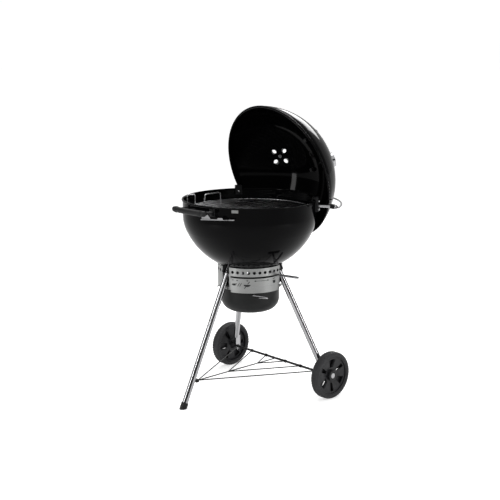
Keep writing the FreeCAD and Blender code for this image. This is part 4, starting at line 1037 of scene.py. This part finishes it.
class GRILL_OT_panel_marks(bpy.types.Operator):
    """Put plain function marks on the control panel, without letters"""

    bl_idname = "grill.panel_marks"
    bl_label = "Panel marks"

    def execute(self, context):
        top = PANEL_HIGH.z
        shape = bmesh.new()
        for angle, width, tall in ((197, 3.2, 3.4 * MM), (205, 3.6, 3.4 * MM), (223, 3.6, 4.2 * MM)):
            mark_oval(shape, angle, top - 8 * MM, width, tall)
        mark_oval(shape, 199.0, top - 26 * MM, 8.5, 11 * MM, 1.0, 0.25)
        mark_stroke(shape, 196.0, 204.5, top - 24.5 * MM, top - 22.5 * MM, 2.2 * MM)
        for start in (206.0, 209.5):
            mark_stroke(shape, start, start + 3.4, top - 33 * MM, top - 19 * MM, 5 * MM)
        mark_oval(shape, 222.5, top - 28 * MM, 10.5, 12 * MM, 1.0, 0.3)
        mark_stroke(shape, 216.5, 228.5, top - 26.5 * MM, top - 26.5 * MM, 2.4 * MM)
        mark_stroke(shape, 223.5, 227.0, top - 22 * MM, top - 12 * MM, 4.5 * MM)
        mark_stroke(shape, 217.5, 220.5, top - 42 * MM, top - 34 * MM, 4 * MM)
        mark_long_arrow(shape, 234.5, 262.5, top - 9.5 * MM)
        mark_stroke(shape, 270.5, 276.5, top - 6 * MM, top - 6 * MM, 3.0 * MM)
        mark_oval(shape, 273.5, top - 21 * MM, 6.5, 12 * MM)
        mark_stroke(shape, 270.0, 277.0, top - 15.5 * MM, top - 15.5 * MM, 2.8 * MM)
        piece_from("control_panel_marks", shape, "frame", "nylon", material="mark_ink", sharp=30.0)
        return {"FINISHED"}


class GRILL_OT_fasteners(bpy.types.Operator):
    """Build the screws of the holder clips and the rivets of the panel"""

    bl_idname = "grill.fasteners"
    bl_label = "Fasteners"

    def execute(self, context):
        upright = Vector((0, 0, 1))
        for side in ("front", "rear"):
            node = "holder_bolts_" + side
            shape = bmesh.new()
            for low, high in node_islands(node):
                centre = (low + high) / 2
                out = away_from_axis(centre)
                inward = (Vector((centre.x, centre.y, 0)) - AXIS).length < (BOWL_HIGH.y - 5 * MM)
                height = 2.8 * MM if inward else 4 * MM
                direction = -out if inward else out
                seat = centre - direction * height / 2
                socket_screw(shape, axes_matrix(seat, direction, upright), 4.6 * MM, height)
            piece_from(node + "_screws", shape, "frame", "chrome", (node,), "grate_steel", 35.0)
        shape = bmesh.new()
        radius = panel_radius()
        for angle in (194.6, 285.4):
            for height in (PANEL_LOW.z + 6 * MM, PANEL_HIGH.z - 5 * MM):
                out = Vector((math.cos(math.radians(angle)), math.sin(math.radians(angle)), 0))
                seat = AXIS + out * (radius - 0.05 * MM) + Vector((0, 0, height))
                lathe(shape, RIVET_PROFILE, 24, axes_matrix(seat, out, upright))
        piece_from("control_panel_rivets", shape, "frame", "band_aluminium", sharp=60.0)
        return {"FINISHED"}


class GRILL_OT_soft_edges(bpy.types.Operator):
    """Round over the edges of the pressed and moulded brackets"""

    bl_idname = "grill.soft_edges"
    bl_label = "Soft edges"

    def execute(self, context):
        for side in ("left", "front", "rear"):
            softened("socket_" + side, "black_steel", 0.9 * MM)
        for side in ("front", "rear"):
            softened("holder_bracket_" + side, "black_steel", 1.3 * MM)
            softened("handle_bracket_" + side, "black_steel", 0.6 * MM)
            softened("holder_end_" + side, "nylon", 1.5 * MM)
        softened("tool_hook", "chrome", 0.7 * MM)
        return {"FINISHED"}


class GRILL_OT_thermometer(bpy.types.Operator):
    """Put the scale on the lid's thermometer dial"""

    bl_idname = "grill.thermometer"
    bl_label = "Thermometer scale"

    def execute(self, context):
        joint = JOINTS["thermometer_needle_turn"]
        out = Vector(joint["axis"]).normalized()
        matrix = axes_matrix(Vector(joint["pos_m"]) - out * 1.3 * MM, out, Vector((0, 0, 1)))
        shape = bmesh.new()
        ticks = 26
        for i in range(ticks):
            turn = math.radians(-125 + 250 * i / (ticks - 1))
            long_tick = i % 5 == 0
            inner = 17.5 * MM if long_tick else 20.0 * MM
            half = 0.7 * MM if long_tick else 0.35 * MM
            around = matrix @ Matrix.Rotation(turn, 4, "Z")
            corners = [(inner, -half), (24 * MM, -half), (24 * MM, half), (inner, half)]
            loft(shape, [[around @ Vector((x, y, z)) for x, y in corners] for z in (0.0, 0.15 * MM)])
        ring = [(25.4 * MM, 0.0), (26.2 * MM, 0.0), (26.2 * MM, 0.15 * MM), (25.4 * MM, 0.15 * MM)]
        lathe(shape, ring, 96, matrix)
        piece_from("thermometer_scale", shape, "lid", "dial_face", material="mark_ink", sharp=30.0)
        return {"FINISHED"}


def area_light(name, place, target, size, power):
    light = bpy.data.lights.new(name, "AREA")
    light.shape = "RECTANGLE"
    light.size, light.size_y = size
    light.energy = power
    light.spread = math.pi
    lamp = add_object(name, light)
    lamp.location = place
    lamp.rotation_mode = "QUATERNION"
    lamp.rotation_quaternion = (Vector(target) - Vector(place)).to_track_quat("-Z", "Y")


class GRILL_OT_stage(bpy.types.Operator):
    """Lay the pale floor, hang the lights and stand the camera"""

    bl_idname = "grill.stage"
    bl_label = "Stage"

    def execute(self, context):
        scene = context.scene
        settings = scene.grill_stage
        scene.view_settings.view_transform = "Standard"
        self.lay_floor(settings.floor_reach)
        self.light_room(scene, settings)
        self.stand_camera(scene, settings)
        return {"FINISHED"}

    def lay_floor(self, reach):
        shape = bmesh.new()
        corners = [(-reach, -reach, 0), (reach, -reach, 0), (reach, reach, 0), (-reach, reach, 0)]
        shape.faces.new([shape.verts.new(corner) for corner in corners])
        mesh = bpy.data.meshes.new("studio_floor")
        shape.to_mesh(mesh)
        shape.free()
        floor = add_object("studio_floor", mesh)
        material, tree, shader = new_material(
            "studio_floor", roughness=0.9, specular_ior_level=0.0,
            base_color=(0.86, 0.86, 0.86, 1.0), emission_color=(1.0, 1.0, 1.0, 1.0),
        )
        path = add_node(tree, "ShaderNodeLightPath", (-300, 0))
        glow = map_range(tree, (0, 0), 0.0, 1.0, 0.12, 0.56)
        join(tree, path, "Is Camera Ray", glow, "Value")
        join(tree, glow, "Result", shader, "Emission Strength")
        mesh.materials.append(material)

    def light_room(self, scene, settings):
        world = bpy.data.worlds.new("studio")
        world.use_nodes = True
        tree = world.node_tree
        tree.nodes.clear()
        seen = add_node(tree, "ShaderNodeBackground", (-200, 100))
        seen.inputs["Color"].default_value = (1.0, 1.0, 1.0, 1.0)
        seen.inputs["Strength"].default_value = 1.02
        around = add_node(tree, "ShaderNodeBackground", (-200, -100))
        around.inputs["Color"].default_value = (1.0, 1.0, 1.0, 1.0)
        place = add_node(tree, "ShaderNodeTexCoord", (-900, -100))
        backward = add_node(tree, "ShaderNodeVectorMath", (-700, -100), operation="DOT_PRODUCT")
        heading = settings.camera_heading
        backward.inputs[1].default_value = (math.sin(heading), math.cos(heading), 0.0)
        brightness = map_range(tree, (-450, -100), 0.0, 0.9, 0.04, 0.50)
        join(tree, place, "Generated", backward, 0)
        join(tree, backward, "Value", brightness, "Value")
        join(tree, brightness, "Result", around, "Strength")
        path = add_node(tree, "ShaderNodeLightPath", (-500, 300))
        pick = add_node(tree, "ShaderNodeMixShader", (100, 0))
        leave = add_node(tree, "ShaderNodeOutputWorld", (350, 0))
        join(tree, path, "Is Camera Ray", pick, "Fac")
        join(tree, around, "Background", pick, 1)
        join(tree, seen, "Background", pick, 2)
        join(tree, pick, "Shader", leave, "Surface")
        scene.world = world
        sun = bpy.data.lights.new("overhead_glow", "SUN")
        sun.energy = 1.35
        sun.angle = math.radians(100)
        glow = add_object("overhead_glow", sun)
        glow.rotation_euler = (math.radians(12), math.radians(-14), 0)
        middle = (0.0, 0.0, 0.7)
        area_light("strip_left", (-3.4, 0.6, 1.5), middle, (0.5, 2.4), settings.strip_power)
        area_light("strip_right", (1.2, -3.4, 1.5), middle, (0.5, 2.4), settings.strip_power)
        area_light("panel_above", (0.6, 0.8, 3.6), middle, (2.6, 2.6), settings.top_power)
        lid_back = (0.1, -0.1, 1.15)
        area_light("softbox_behind", (3.7, 1.75, 2.6), lid_back, (2.1, 0.9), settings.softbox_power)

    def stand_camera(self, scene, settings):
        heading, pitch = settings.camera_heading, settings.camera_pitch
        forward = Vector((
            math.sin(heading) * math.cos(pitch), math.cos(heading) * math.cos(pitch), -math.sin(pitch)
        ))
        camera = bpy.data.cameras.new("camera")
        camera.sensor_width = 36.0
        camera.lens = settings.lens
        stand = add_object("camera", camera)
        stand.location = settings.camera_place
        stand.rotation_mode = "QUATERNION"
        lean = Matrix.Rotation(settings.camera_roll, 3, "Z").to_quaternion()
        stand.rotation_quaternion = forward.to_track_quat("-Z", "Y") @ lean
        scene.camera = stand


class GRILL_PT_panel(bpy.types.Panel):
    """Sidebar panel with the grill's pieces and settings"""

    bl_idname = "GRILL_PT_panel"
    bl_label = "Kettle grill"
    bl_space_type = "VIEW_3D"
    bl_region_type = "UI"
    bl_category = "Grill"

    def draw(self, context):
        column = self.layout.column()
        for operator in OPERATORS:
            column.operator(operator.bl_idname)
        for group in GROUPS:
            settings = getattr(context.scene, group)
            for name in settings.__annotations__:
                column.prop(settings, name)


OPERATORS = (
    GRILL_OT_finishes, GRILL_OT_wheels, GRILL_OT_grips, GRILL_OT_lever, GRILL_OT_panel_marks,
    GRILL_OT_fasteners, GRILL_OT_soft_edges, GRILL_OT_thermometer, GRILL_OT_stage,
)
GROUPS = {
    "grill_finishes": GrillFinishes, "grill_wheels": GrillWheels,
    "grill_grips": GrillGrips, "grill_stage": GrillStage,
}


def register():
    for group in GROUPS.values():
        bpy.utils.register_class(group)
    for operator in OPERATORS:
        bpy.utils.register_class(operator)
    bpy.utils.register_class(GRILL_PT_panel)
    for name, group in GROUPS.items():
        setattr(bpy.types.Scene, name, bpy.props.PointerProperty(type=group))


def unregister():
    for name in GROUPS:
        delattr(bpy.types.Scene, name)
    bpy.utils.unregister_class(GRILL_PT_panel)
    for operator in reversed(OPERATORS):
        bpy.utils.unregister_class(operator)
    for group in reversed(list(GROUPS.values())):
        bpy.utils.unregister_class(group)


def main():
    register()
    bpy.ops.grill.finishes()
    bpy.ops.grill.wheels()
    bpy.ops.grill.grips()
    bpy.ops.grill.lever()
    bpy.ops.grill.panel_marks()
    bpy.ops.grill.fasteners()
    bpy.ops.grill.soft_edges()
    bpy.ops.grill.thermometer()
    bpy.ops.grill.stage()


if __name__ == "__main__":
    main()
